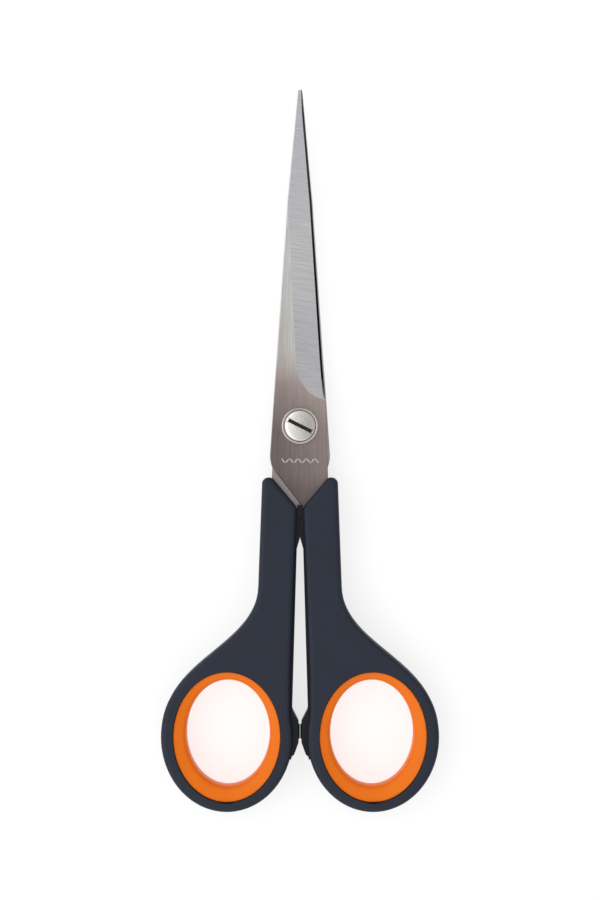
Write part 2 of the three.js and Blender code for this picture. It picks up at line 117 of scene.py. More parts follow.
def arc(centre: Point, radii: Point, start: float, end: float, steps: int) -> Outline:
    """Points on an ellipse.

    Args:
        centre: middle of the ellipse.
        radii: half width and half length.
        start: first angle in degrees.
        end: last angle in degrees.
        steps: number of chords.

    Returns:
        The points, both ends among them.
    """
    angles = [math.radians(start + (end - start) * i / steps) for i in range(steps + 1)]
    return [
        (centre[0] + radii[0] * math.cos(a), centre[1] + radii[1] * math.sin(a)) for a in angles]


def bezier(controls: Outline, steps: int) -> Outline:
    """Points on a Bezier curve of any degree.

    Args:
        controls: control points.
        steps: number of chords.

    Returns:
        The points, both ends among them.
    """
    result = []
    for i in range(steps + 1):
        level = [Vector(p) for p in controls]
        while len(level) > 1:
            level = [a.lerp(b, i / steps) for a, b in zip(level, level[1:])]
        result.append((level[0].x, level[0].y))
    return result


def area(outline: Outline) -> float:
    """Signed area, positive if the outline runs anticlockwise."""
    pairs = zip(outline, outline[1:] + outline[:1])
    return sum(a[0] * b[1] - b[0] * a[1] for a, b in pairs) / 2


def anticlockwise(outline: Outline) -> Outline:
    """The same outline, running anticlockwise."""
    return outline if area(outline) > 0 else outline[::-1]


def offset(outline: Outline, by: float, closed: bool = True) -> Outline:
    """Moves an anticlockwise outline outwards, each point along its own normal.

    Args:
        outline: points of the outline.
        by: distance, negative to move inwards.
        closed: whether the last point joins the first.

    Returns:
        As many points, moved.
    """
    result = []
    count = len(outline)
    for i, (x, y) in enumerate(outline):
        before = Vector(outline[i - 1] if closed or i else outline[0])
        after = Vector(outline[(i + 1) % count] if closed or i < count - 1 else outline[i])
        here = Vector((x, y))
        first = here - before if (here - before).length else after - here
        arriving = first.normalized()
        leaving = (after - here).normalized() if (after - here).length else arriving
        normal = Vector((arriving.y + leaving.y, -arriving.x - leaving.x)).normalized()
        mitre = max(normal.dot(Vector((arriving.y, -arriving.x))), 0.5)
        result.append((x + normal.x * by / mitre, y + normal.y * by / mitre))
    return result


def fillet(corners: list[tuple[float, float, float]], steps: int = 6) -> Outline:
    """Rounds the corners of a closed outline.

    Args:
        corners: (x, y, radius) of each corner; a radius of 0 keeps the point.
        steps: chords in each rounded corner.

    Returns:
        The rounded outline.
    """
    result: Outline = []
    for i, (x, y, radius) in enumerate(corners):
        if radius == 0:
            result.append((x, y))
            continue
        here = Vector((x, y))
        back = (Vector(corners[i - 1][:2]) - here).normalized()
        ahead = (Vector(corners[(i + 1) % len(corners)][:2]) - here).normalized()
        half = math.acos(max(-1.0, min(1.0, back.dot(ahead)))) / 2
        reach = radius / math.tan(half)
        start, end = here + back * reach, here + ahead * reach
        middle = here + (back + ahead).normalized() * radius / math.sin(half)
        first, last = start - middle, end - middle
        sweep = first.angle_signed(last)
        for k in range(steps + 1):
            angle = -sweep * k / steps
            result.append((
                middle.x + first.x * math.cos(angle) - first.y * math.sin(angle),
                middle.y + first.x * math.sin(angle) + first.y * math.cos(angle)))
    return result


def smooth_step(value: float) -> float:
    """Eases from 0 to 1 as value goes from 0 to 1."""
    value = max(0.0, min(1.0, value))
    return value * value * (3 - 2 * value)


def between(table: Outline | tuple[Point, ...], place: float) -> float:
    """Reads a table with straight lines between its rows.

    Args:
        table: (place, value) rows, sorted by place.
        place: where to read it.

    Returns:
        The value there, or at the nearer end.
    """
    if place <= table[0][0]:
        return table[0][1]
    for (a, va), (b, vb) in zip(table, table[1:]):
        if place <= b:
            return va + (vb - va) * (place - a) / (b - a)
    return table[-1][1]


# ---- solids ----


def rounded_plate(
        outer: Outline, holes: list[Outline], low: float, high: float, radius: float,
        steps: int = PLATE_STEPS) -> Solid:
    """Plate with rounded edges.

    Args:
        outer: outline of the plate.
        holes: outlines of its holes.
        low: height of the lower face.
        high: height of the upper face.
        radius: radius of every edge.
        steps: chords in each rounded edge.

    Returns:
        Points and faces of one closed solid.
    """
    angles = [math.pi / 2 * k / steps for k in range(steps + 1)]
    rise = [(radius * (1 - math.sin(a)), low + radius * (1 - math.cos(a))) for a in angles]
    # A narrow flat rim inside each rounding keeps the shading of the faces flat.
    flat_rim = 1.12
    rise.insert(0, (radius * flat_rim, low))
    profile = rise + [(inset, low + high - z) for inset, z in reversed(rise)]
    points: list[tuple[float, float, float]] = []
    faces: list[tuple[int, ...]] = []
    rims: list[list[int]] = []
    for number, contour in enumerate([outer, *holes]):
        contour = anticlockwise(contour)
        size, first = len(contour), len(points)
        for inset, z in profile:
            moved = offset(contour, inset if number else -inset)
            points += [(x, y, z) for x, y in moved]
        for ring in range(len(profile) - 1):
            faces += band(first + ring * size, size)
        rims.append(list(range(first, first + size)))
    flat = [i for rim in rims for i in rim]
    rise_to = {i: i + (len(profile) - 1) * len(rim) for rim in rims for i in rim}
    for a, b, c in tessellate_polygon([[Vector(points[i]) for i in rim] for rim in rims]):
        faces.append((flat[a], flat[b], flat[c]))
        faces.append((rise_to[flat[c]], rise_to[flat[b]], rise_to[flat[a]]))
    return points, faces


def band(first: int, size: int) -> list[tuple[int, ...]]:
    """Faces between a ring of points and the next ring, numbered right after it.

    Args:
        first: number of the first ring's first point.
        size: points in each ring.

    Returns:
        One four-sided face for each point of a ring.
    """
    return [
        (first + i, first + (i + 1) % size, first + size + (i + 1) % size, first + size + i)
        for i in range(size)]


def turned_solid(profile: Outline, segments: int = ROUND_STEPS) -> Solid:
    """Solid of revolution about the pivot axis.

    Args:
        profile: (radius, height) pairs that close on the axis or on themselves.
        segments: steps round the axis.

    Returns:
        Points and faces of one closed solid.
    """
    points: list[tuple[float, float, float]] = []
    rings: list[list[int]] = []
    for radius, height in profile:
        if radius == 0:
            rings.append([len(points)] * segments)
            points.append((0, 0, height))
            continue
        rings.append(list(range(len(points), len(points) + segments)))
        for i in range(segments):
            angle = math.tau * i / segments
            points.append((radius * math.cos(angle), radius * math.sin(angle), height))
    if profile[0][0] != 0:
        rings.append(rings[0])
    faces = []
    for lower, upper in zip(rings, rings[1:]):
        for i in range(segments):
            j = (i + 1) % segments
            corners = dict.fromkeys((lower[i], lower[j], upper[j], upper[i]))
            if len(corners) > 2:
                faces.append(tuple(corners))
    return points, faces


def make_piece(name: str, solid: Solid, turn: float = 1.0) -> Piece:
    """Makes an object from a solid, placed in the row frame.

    Args:
        name: name of the piece.
        solid: points in millimetres about the pivot, and faces.
        turn: 1 as built, -1 turned over about Y.

    Returns:
        The new object, with its faces pointing out.
    """
    points, faces = solid
    placed = [(Vector((x * turn, y, z * turn)) + PIVOT) * MM for x, y, z in points]
    mesh = bpy.data.meshes.new(name)
    mesh.from_pydata(placed, [], faces)
    piece = bpy.data.objects.new(name, mesh)
    bpy.context.scene.collection.objects.link(piece)
    point_outwards(piece)
    return piece


def point_outwards(piece: Piece) -> None:
    """Joins doubled points of a closed piece and turns its faces outwards.

    Args:
        piece: the piece, changed in place.
    """
    shell = bmesh.new()
    shell.from_mesh(piece.data)
    bmesh.ops.remove_doubles(shell, verts=shell.verts, dist=2e-7)
    bmesh.ops.recalc_face_normals(shell, faces=shell.faces)
    shell.to_mesh(piece.data)
    shell.free()


def bake_modifiers(piece: Piece) -> None:
    """Turns a piece's modifiers into plain mesh.

    Args:
        piece: the piece, changed in place.
    """
    graph = bpy.context.evaluated_depsgraph_get()
    made = bpy.data.meshes.new_from_object(piece.evaluated_get(graph))
    piece.modifiers.clear()
    piece.data = made


def carve(piece: Piece, cutter: Piece) -> None:
    """Cuts one solid out of another and removes the cutter.

    Args:
        piece: the piece that is cut.
        cutter: the solid to take away.
    """
    modifier = piece.modifiers.new("carve", "BOOLEAN")
    modifier.operation = "DIFFERENCE"
    modifier.solver = "EXACT"
    modifier.object = cutter
    bake_modifiers(piece)
    bpy.data.objects.remove(cutter)


def dress(piece: Piece, *materials: Material) -> None:
    """Gives a piece its finishes; with one finish every face gets it.

    Args:
        piece: the piece.
        *materials: its finishes, in the order of its material indices.
    """
    piece.data.materials.clear()
    for material in materials:
        piece.data.materials.append(material)
    if len(materials) == 1:
        for polygon in piece.data.polygons:
            polygon.material_index = 0


def shade(piece: Piece, sharp_degrees: float) -> None:
    """Shades a piece smooth, with sharp edges where it turns or changes finish.

    Args:
        piece: the piece.
        sharp_degrees: turn between two faces from which their edge is sharp.
    """
    mesh = piece.data
    mesh.shade_smooth()
    mesh.set_sharp_from_angle(angle=math.radians(sharp_degrees))
    shell = bmesh.new()
    shell.from_mesh(mesh)
    for edge in shell.edges:
        if len({face.material_index for face in edge.link_faces}) > 1:
            edge.smooth = False
    shell.to_mesh(mesh)
    shell.free()


def settle(
        piece: Piece, body: str, node: str | None,
        sharp_degrees: float = 32.0) -> None:
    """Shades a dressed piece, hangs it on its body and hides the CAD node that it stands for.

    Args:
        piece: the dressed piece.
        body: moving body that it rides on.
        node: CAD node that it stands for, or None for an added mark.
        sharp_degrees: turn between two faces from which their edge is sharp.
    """
    shade(piece, sharp_degrees)
    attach(piece, body)
    if node:
        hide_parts(node)
    LOG.info("%s rides on %s: %d faces", piece.name, body, len(piece.data.polygons))


# ---- nodes ----


def add(tree: Tree, kind: str, inputs: dict | None = None, **settings) -> bpy.types.Node:
    """Adds a node with its settings and links.

    Args:
        tree: node tree to add to.
        kind: type name of the node.
        inputs: value or linked output for each named or numbered input.
        **settings: properties of the node.

    Returns:
        The new node.
    """
    node = tree.nodes.new(kind)
    for key, value in settings.items():
        setattr(node, key, value)
    for key, value in (inputs or {}).items():
        if isinstance(value, Socket):
            tree.links.new(value, node.inputs[key])
        else:
            node.inputs[key].default_value = value
    return node


def linear(code: str) -> tuple[float, float, float, float]:
    """Linear colour of an sRGB hex code such as '#363a45'."""
    parts = [int(code[i:i + 2], 16) / 255 for i in (1, 3, 5)]
    return (*(c / 12.92 if c <= 0.04045 else ((c + 0.055) / 1.055) ** 2.4 for c in parts), 1.0)


def set_ramp(ramp: bpy.types.Node, stops: list[tuple[float, tuple]]) -> None:
    """Gives a colour ramp its stops.

    Args:
        ramp: colour ramp node.
        stops: (position, linear colour) pairs, sorted by position.
    """
    elements = ramp.color_ramp.elements
    while len(elements) < len(stops):
        elements.new(0.5)
    for element, (place, colour) in zip(elements, stops):
        element.position = place
        element.color = colour


def new_material(name: str) -> tuple[Material, Tree]:
    """An empty node material and its tree.

    Args:
        name: name of the material.

    Returns:
        The material and its node tree.
    """
    material = bpy.data.materials.new(name)
    material.use_nodes = True
    material.node_tree.nodes.clear()
    return material, material.node_tree


def pattern_space(tree: Tree, cell: tuple = (1.0, 1.0, 1.0), degrees: float = 0.0) -> Socket:
    """Object coordinates about the pivot, counted in cells of a size in millimetres.

    Args:
        tree: material tree.
        cell: length of one cell along each axis after turning.
        degrees: turn of the pattern about Z.

    Returns:
        The vector output.
    """
    place = add(tree, "ShaderNodeTexCoord").outputs["Object"]
    centred = add(tree, "ShaderNodeMapping", {
        "Vector": place, "Location": tuple(-PIVOT * MM)}).outputs["Vector"]
    turned = add(tree, "ShaderNodeMapping", {
        "Vector": centred, "Rotation": (0, 0, math.radians(-degrees))}).outputs["Vector"]
    return add(tree, "ShaderNodeMapping", {
        "Vector": turned, "Scale": tuple(1 / (size * MM) for size in cell)}).outputs["Vector"]


def place_along(tree: Tree, axis: str) -> Socket:
    """Distance from the pivot along one axis, in millimetres."""
    return add(tree, "ShaderNodeSeparateXYZ", {"Vector": pattern_space(tree)}).outputs[axis]


@dataclass(frozen=True)
class SteelFinish:
    """Stainless steel whose marks run one way.

    Grinding and brushing leave long fine scratches, so light is spread across them and every
    mark is a slightly different grey. Real marks are about 0.02 mm wide: here they are drawn
    as wide as they need to be to show. A fade gives (place, colour) along the blade, and a
    share paints shade on the left side of the pivot and light on its right side, or the
    other way round when the share is negative.
    """

    name: str
    colour: str
    dark: str
    roughness: float
    spread: float
    direction: Direction
    mark_width: float = 0.3
    mark_length: float = 14.0
    tilt: float = 0.0
    relief: float = 0.012
    anisotropy: float = 0.35
    fade: tuple[tuple[float, str], ...] = ()
    # Share of painted shade on the left of the pivot and painted light on its right.
    painted_lean: float = 0.0
    painted_lean_reach: float = 7.0
    wear_size: float = 9.0

    def marks(self, tree: Tree) -> Socket:
        """Streaky noise that runs in the finish's direction.

        Args:
            tree: material tree.

        Returns:
            The noise, from 0 to 1.
        """
        if self.direction is Direction.ROUND:
            parts = add(tree, "ShaderNodeSeparateXYZ", {"Vector": pattern_space(tree)})
            flat = add(tree, "ShaderNodeCombineXYZ", {
                "X": parts.outputs["X"], "Y": parts.outputs["Y"]})
            radius = add(tree, "ShaderNodeVectorMath", {0: flat.outputs[0]}, operation="LENGTH")
            rings = add(tree, "ShaderNodeMath", {
                0: radius.outputs["Value"], 1: 1 / self.mark_width}, operation="MULTIPLY")
            return add(tree, "ShaderNodeTexNoise", {
                "W": rings.outputs[0], "Scale": 1.0, "Detail": 3.0, "Roughness": 0.6},
                noise_dimensions="1D").outputs["Fac"]
        cell = (self.mark_width, self.mark_length)
        if self.direction is Direction.ACROSS:
            cell = cell[::-1]
        place = pattern_space(tree, (*cell, self.mark_length), self.tilt)
        return add(tree, "ShaderNodeTexNoise", {
            "Vector": place, "Scale": 1.0, "Detail": 4.0, "Roughness": 0.65}).outputs["Fac"]

    def grain(self, tree: Tree) -> Socket:
        """Direction in which the marks run at each point.

        Args:
            tree: material tree.

        Returns:
            The direction as a vector.
        """
        if self.direction is Direction.ROUND:
            return add(tree, "ShaderNodeVectorMath", {
                0: (0, 0, 1), 1: pattern_space(tree)}, operation="CROSS_PRODUCT").outputs[0]
        lengthwise = self.direction is Direction.LENGTHWISE
        angle = math.radians(self.tilt + (90.0 if lengthwise else 0.0))
        return add(tree, "ShaderNodeCombineXYZ", {
            "X": math.cos(angle), "Y": math.sin(angle)}).outputs[0]

    def tone(self, tree: Tree) -> Socket:
        """Colour without marks: plain, or fading along the blade.

        Args:
            tree: material tree.

        Returns:
            The colour.
        """
        if not self.fade:
            plain = add(tree, "ShaderNodeRGB").outputs[0]
            plain.default_value = linear(self.colour)
            return plain
        places = [place for place, _ in self.fade]
        low, high = min(places), max(places)
        share = add(tree, "ShaderNodeMapRange", {
            "Value": place_along(tree, "Y"), "From Min": low, "From Max": high})
        ramp = add(tree, "ShaderNodeValToRGB", {"Fac": share.outputs["Result"]})
        set_ramp(ramp, [
            ((place - low) / (high - low), linear(code)) for place, code in sorted(self.fade)])
        return ramp.outputs["Color"]

    def paint_side_shade(self, tree: Tree, tone: Socket) -> Socket:
        """Paints shade on one side of the pivot and light on the other, as a crowned face would be
        lit.

        Args:
            tree: material tree.
            tone: the colour to change.

        Returns:
            The changed colour.
        """
        share = add(tree, "ShaderNodeMapRange", {
            "Value": place_along(tree, "X"), "From Min": -self.painted_lean_reach,
            "From Max": self.painted_lean_reach, "To Min": 1 - self.painted_lean, "To Max": 1 + self.painted_lean})
        return add(tree, "ShaderNodeVectorMath", {
            0: tone, 1: share.outputs["Result"]}, operation="MULTIPLY").outputs[0]

    def build(self) -> Material:
        """Makes the material.

        Returns:
            The material.
        """
        material, tree = new_material(self.name)
        marks = self.marks(tree)
        tone = self.tone(tree)
        # Painted shade on one side of the pivot and painted light on the other.
        if self.painted_lean:
            tone = self.paint_side_shade(tree, tone)
        worn = add(tree, "ShaderNodeTexNoise", {
            "Vector": pattern_space(tree, (self.wear_size,) * 3), "Scale": 1.0,
            "Detail": 2.0}).outputs["Fac"]
        contrast = add(tree, "ShaderNodeMapRange", {
            "Value": marks, "From Min": 0.3, "From Max": 0.7, "To Min": 0.0, "To Max": 1.0})
        shadow = add(tree, "ShaderNodeMix", {
            0: contrast.outputs["Result"], 6: linear(self.dark), 7: (1, 1, 1, 1)},
            data_type="RGBA")
        colour = add(tree, "ShaderNodeMix", {0: 1.0, 6: tone, 7: shadow.outputs[2]},
                     data_type="RGBA", blend_type="MULTIPLY")
        mixed = add(tree, "ShaderNodeMath", {0: marks, 1: worn}, operation="ADD")
        rough = add(tree, "ShaderNodeMapRange", {
            "Value": mixed.outputs[0], "From Min": 0.6, "From Max": 1.4,
            "To Min": self.roughness - self.spread, "To Max": self.roughness + self.spread})
        bump = add(tree, "ShaderNodeBump", {
            "Strength": 0.5, "Distance": self.relief * MM, "Height": marks})
        shader = add(tree, "ShaderNodeBsdfPrincipled", {
            "Base Color": colour.outputs[2], "Metallic": 1.0,
            "Roughness": rough.outputs["Result"], "Anisotropic": self.anisotropy,
            "Normal": bump.outputs["Normal"], "Tangent": self.grain(tree)})
        add(tree, "ShaderNodeOutputMaterial", {"Surface": shader.outputs[0]})
        return material


@dataclass(frozen=True)
class MouldedFinish:
    """Moulded plastic or rubber.

    The mould's spark-eroded texture gives a fine even grain that breaks up highlights, and
    the pigment varies a little from place to place.
    """

    name: str
    colour: str
    second: str
    roughness: float
    spread: float
    grain: float
    relief: float
    ior: float = 1.5
    specular: float = 0.5
    parting: bool = False
    cloud_size: float = 7.0

    def parting_line(self, tree: Tree) -> Socket:
        """Height of the witness line that the mould's halves leave at mid height.

        Args:
            tree: material tree.

        Returns:
            The height, in the unit of the grain's noise.
        """
        away = add(tree, "ShaderNodeMath", {0: place_along(tree, "Z")}, operation="ABSOLUTE")
        return add(tree, "ShaderNodeMapRange", {
            "Value": away.outputs[0], "From Min": 0.05, "From Max": 0.16, "To Min": 2.5,
            "To Max": 0.0}).outputs["Result"]

    def build(self) -> Material:
        """Makes the material.

        Returns:
            The material.
        """
        material, tree = new_material(self.name)
        grain = add(tree, "ShaderNodeTexNoise", {
            "Vector": pattern_space(tree, (self.grain,) * 3), "Scale": 1.0, "Detail": 3.0,
            "Roughness": 0.55}).outputs["Fac"]
        cloud = add(tree, "ShaderNodeTexNoise", {
            "Vector": pattern_space(tree, (self.cloud_size,) * 3), "Scale": 1.0,
            "Detail": 3.0}).outputs["Fac"]
        blend = add(tree, "ShaderNodeMath", {0: grain, 1: cloud}, operation="ADD")
        share = add(tree, "ShaderNodeMapRange", {
            "Value": blend.outputs[0], "From Min": 0.7, "From Max": 1.3})
        colour = add(tree, "ShaderNodeMix", {
            0: share.outputs["Result"], 6: linear(self.colour), 7: linear(self.second)},
            data_type="RGBA")
        rough = add(tree, "ShaderNodeMapRange", {
            "Value": blend.outputs[0], "From Min": 0.7, "From Max": 1.3,
            "To Min": self.roughness - self.spread, "To Max": self.roughness + self.spread})
        height = grain
        if self.parting:
            height = add(tree, "ShaderNodeMath", {
                0: grain, 1: self.parting_line(tree)}, operation="ADD").outputs[0]
        bump = add(tree, "ShaderNodeBump", {
            "Strength": 0.6, "Distance": self.relief * MM, "Height": height})
        shader = add(tree, "ShaderNodeBsdfPrincipled", {
            "Base Color": colour.outputs[2], "Roughness": rough.outputs["Result"],
            "IOR": self.ior, "Specular IOR Level": self.specular,
            "Normal": bump.outputs["Normal"]})
        add(tree, "ShaderNodeOutputMaterial", {"Surface": shader.outputs[0]})
        return material


class Finish(Enum):
    """Every finish on the shears."""

    # Brushed along its length. Its colour runs from warm and dark at the root to near white at
    # the tip: the warm tone is the steel's own, the darkening towards the handles is painted
    # shade and the pale tip a painted reflection of the bright studio. Its share across the
    # pivot paints shade on the left and light on the right.
    FLAT = SteelFinish(
        "brushed_flat_painted_shade_and_reflection", "#e0dedc", "#dcd9d7", 0.34, 0.05, Direction.LENGTHWISE,
        mark_width=0.16, mark_length=9.0, relief=0.005, painted_lean=0.25,
        fade=((-20.0, "#746a67"), (-16.0, "#7d7370"), (-12.0, "#8f8480"), (-1.0, "#988c87"),
              (6.5, "#ac9f9b"), (10.5, "#bfafab"), (15.0, "#dad2ce"), (19.0, "#e6e4e1"),
              (60.0, "#f4f4f4")))
    # The inner face is hollow ground and kept bright so that the blades slide, except
    # at the tang, which is left as brushed.
    INNER = SteelFinish(
        "hollow_ground_inner_face", "#b9babd", "#dededf", 0.3, 0.04, Direction.LENGTHWISE,
        mark_width=0.2, mark_length=8.0, relief=0.005,
        fade=((-22.0, "#b6a8a9"), (-12.0, "#bdb1b1"), (-9.0, "#b9babd"), (60.0, "#c2c3c6")))
    # The wheel runs across the blade, so its lines cross it and slope a little.
    GROUND = SteelFinish(
        "cross_ground_stainless", "#dcdcdf", "#dadadc", 0.3, 0.05, Direction.ACROSS,
        mark_width=0.2, mark_length=9.0, tilt=-8.0, relief=0.0045,
        fade=((6.0, "#d2d2d4"), (22.0, "#d5d5d7"), (40.0, "#e2e2e3"), (70.0, "#dcdbe1")))
    # Honing leaves the edge's own bevel finer. Its colour is painted dark as well: painted shade
    # that stands for the dark surroundings which the steep bevel reflects.
    HONED = SteelFinish(
        "honed_edge_painted_dark", "#333336", "#c8c8ca", 0.16, 0.04, Direction.ACROSS,
        mark_width=0.4, mark_length=3.0, tilt=-8.0, relief=0.004)
    # Etching frosts the polish, so the marks stay pale from every side.
    ETCHED = SteelFinish(
        "etched_stainless_mark", "#d8d3d0", "#cfcbc8", 0.6, 0.05, Direction.LENGTHWISE,
        mark_width=0.2, mark_length=1.0)
    # Faced on a lathe: rings about the axis throw a fan of light across the head. A painted
    # highlight lightens the left side of the head and painted shade darkens its right side.
    SCREW = SteelFinish(
        "turned_steel_screw", "#efece8", "#d5d0cc", 0.26, 0.05, Direction.ROUND,
        mark_width=0.2, relief=0.03, anisotropy=0.7, painted_lean=-0.16, painted_lean_reach=2.2)
    # Painted shade: the walls and floor of the slot are coloured nearly black to stand for the
    # shade inside it.
    SLOT_SHADE = MouldedFinish(
        "painted_shade_in_slot", "#17150f", "#2a2722", 0.55, 0.1, grain=0.2, relief=0.02, ior=1.45)
    # Pressed and barrel-polished, so it is bright with a faint tool ring.
    CUP = SteelFinish(
        "pressed_steel_cup", "#dad5d0", "#cfcbc8", 0.24, 0.04, Direction.ROUND,
        mark_width=0.3, relief=0.006, anisotropy=0.3)
    # Turned and left as it came off the tool, so its rings are coarser and duller.
    NUT = SteelFinish(
        "turned_steel_nut", "#b5b2ae", "#c4c1be", 0.32, 0.06, Direction.ROUND,
        mark_width=0.22, relief=0.01, anisotropy=0.6)
    # Spring temper leaves a bluish straw-grey cast.
    SPRING = SteelFinish(
        "tempered_spring_steel", "#8d8f98", "#c0c0c4", 0.36, 0.05, Direction.ROUND,
        mark_width=0.3, relief=0.008)
    # Natural nylon is waxy and off-white.
    NYLON = MouldedFinish(
        "natural_nylon", "#ddd8c8", "#cfc9b6", 0.45, 0.06, grain=0.5, relief=0.006, ior=1.53)
    # Thermoplastic rubber moulded over the core: matt, so highlights spread wide.
    SOFT = MouldedFinish(
        "soft_touch_rubber", "#1d2331", "#212736", 0.54, 0.06, grain=0.28, relief=0.02,
        ior=1.47, specular=0.34, parting=True)
    # Glass-filled polypropylene, darker and a little shinier than the cover.
    CORE = MouldedFinish(
        "glass_filled_polypropylene", "#0a0a0f", "#0f0f15", 0.44, 0.06, grain=0.35,
        relief=0.012, ior=1.49, specular=0.25)
    # ABS moulded in colour with a satin face.
    LINER = MouldedFinish(
        "orange_moulded_abs", "#f07206", "#f47a0b", 0.42, 0.05, grain=0.3, relief=0.01,
        ior=1.53, specular=0.2)
    # Solid rubber from a plain mould: quite matt, so it reads as near black.
    PAD = MouldedFinish(
        "moulded_stop_rubber", "#0b0b10", "#121217", 0.74, 0.06, grain=0.3, relief=0.02,
        ior=1.5, specular=0.25)


Materials = dict[Finish, Material]


# ---- trees that make pieces ----


def run_tree(tree: Tree, name: str, values: dict) -> Piece:
    """Runs a geometry tree on an empty object and keeps the result as plain mesh.

    Args:
        tree: geometry node tree.
        name: name of the new piece.
        values: value of each named input.

    Returns:
        The finished object.
    """
    piece = bpy.data.objects.new(name, bpy.data.meshes.new(name))
    bpy.context.scene.collection.objects.link(piece)
    modifier = piece.modifiers.new("made by rule", "NODES")
    modifier.node_group = tree
    for item in tree.interface.items_tree:
        if item.item_type == "SOCKET" and item.in_out == "INPUT" and item.name in values:
            modifier[item.identifier] = values[item.name]
    bake_modifiers(piece)
    point_outwards(piece)
    dress(piece, values["Material"])
    return piece


def new_geometry_tree(name: str, sockets: dict[str, str]) -> tuple[Tree, dict[str, Socket]]:
    """A geometry tree with named inputs, a material input and one geometry output.

    Args:
        name: name of the tree.
        sockets: kind of each named input: Float, Int or Vector.

    Returns:
        The tree and its input sockets by name.
    """
    tree = bpy.data.node_groups.new(name, "GeometryNodeTree")
    sockets = {**sockets, "Material": "Material"}
    for label, kind in sockets.items():
        tree.interface.new_socket(label, in_out="INPUT", socket_type=f"NodeSocket{kind}")
    tree.interface.new_socket(
        "Geometry", in_out="OUTPUT", socket_type="NodeSocketGeometry")
    given = tree.nodes.new("NodeGroupInput")
    return tree, {label: given.outputs[label] for label in sockets}


def close_tree(tree: Tree, geometry: Socket, material: Socket) -> None:
    """Ends a tree: realizes instances, sets the material and hands the geometry out.

    Args:
        tree: geometry node tree.
        geometry: what it made.
        material: finish of what it made.
    """
    real = add(tree, "GeometryNodeRealizeInstances", {"Geometry": geometry})
    dressed = add(tree, "GeometryNodeSetMaterial", {
        "Geometry": real.outputs[0], "Material": material})
    add(tree, "NodeGroupOutput", {"Geometry": dressed.outputs[0]})


def ring_tree() -> Tree:
    """A ring between two ellipses whose section is square or round on either side.

    A flat grid is wrapped twice: once round the ring and once round its section. The
    section is a power curve, so a small power squares a side and a power of 1 rounds it.

    Returns:
        The geometry tree.
    """
    tree, given = new_geometry_tree("ring_between_ellipses", {
        "Around": "Int", "Section": "Int", "Centre": "Vector", "Outer Width": "Float",
        "Outer Length": "Float", "Hole Width": "Float", "Hole Length": "Float",
        "Hole Shift": "Vector", "Half Height": "Float", "Dish": "Float", "Funnel": "Float",
        "Outer Power": "Float", "Inner Power": "Float"})
    grid = add(tree, "GeometryNodeMeshGrid", {
        "Size X": 1.0, "Size Y": 1.0, "Vertices X": given["Around"],
        "Vertices Y": given["Section"]})
    place = add(tree, "GeometryNodeInputPosition").outputs[0]
    share = add(tree, "ShaderNodeSeparateXYZ", {0: place})

    def calc(operation: str, first: Socket | float, second: Socket | float = 0.0) -> Socket:
        """One step of arithmetic on sockets or numbers."""
        return add(tree, "ShaderNodeMath", {0: first, 1: second}, operation=operation).outputs[0]

    def signed_power(value: Socket, exponent: Socket) -> Socket:
        """Power of a number's size, with its sign; what should be 0 is made exactly 0."""
        size = calc("MAXIMUM", calc("SUBTRACT", calc("ABSOLUTE", value), 1e-5), 0.0)
        return calc("MULTIPLY", calc("SIGN", value), calc("POWER", size, exponent))

    def ellipse(width: str, length: str) -> Socket:
        """Point of an ellipse at this share of the way round, at the section's height."""
        return add(tree, "ShaderNodeCombineXYZ", {
            "X": calc("MULTIPLY", cosine, given[width]),
            "Y": calc("MULTIPLY", sine, given[length]), "Z": height}).outputs[0]

    around = calc("MULTIPLY", share.outputs["X"], math.tau)
    across = calc("MULTIPLY", share.outputs["Y"], math.tau)
    outward = calc("COSINE", across)
    upward = calc("SINE", across)
    inside = calc("LESS_THAN", outward, 0.0)
    powers = calc("SUBTRACT", given["Inner Power"], given["Outer Power"])
    power = calc("ADD", given["Outer Power"], calc("MULTIPLY", inside, powers))
    out_part, up_part = signed_power(outward, power), signed_power(upward, power)
    depth = calc("SUBTRACT", 0.5, calc("MULTIPLY", out_part, 0.5))
    kept = calc("SUBTRACT", 1.0, calc("MULTIPLY", depth, given["Funnel"]))
    half_height = calc("MULTIPLY", given["Half Height"], kept)
    height = calc("ADD", calc("MULTIPLY", up_part, half_height),
                  calc("MULTIPLY", depth, given["Dish"]))
    cosine, sine = calc("COSINE", around), calc("SINE", around)
    outer = ellipse("Outer Width", "Outer Length")
    hole = add(tree, "ShaderNodeVectorMath", {
        0: ellipse("Hole Width", "Hole Length"), 1: given["Hole Shift"]}, operation="ADD")
    mixed = add(tree, "ShaderNodeMix", {
        0: depth, 4: outer, 5: hole.outputs[0]}, data_type="VECTOR").outputs[1]
    placed = add(tree, "ShaderNodeVectorMath", {0: mixed, 1: given["Centre"]}, operation="ADD")
    wrapped = add(tree, "GeometryNodeSetPosition", {
        "Geometry": grid.outputs["Mesh"], "Position": placed.outputs[0]})
    joined = add(tree, "GeometryNodeMergeByDistance", {
        "Geometry": wrapped.outputs[0], "Distance": 1e-7})
    close_tree(tree, joined.outputs[0], given["Material"])
    return tree


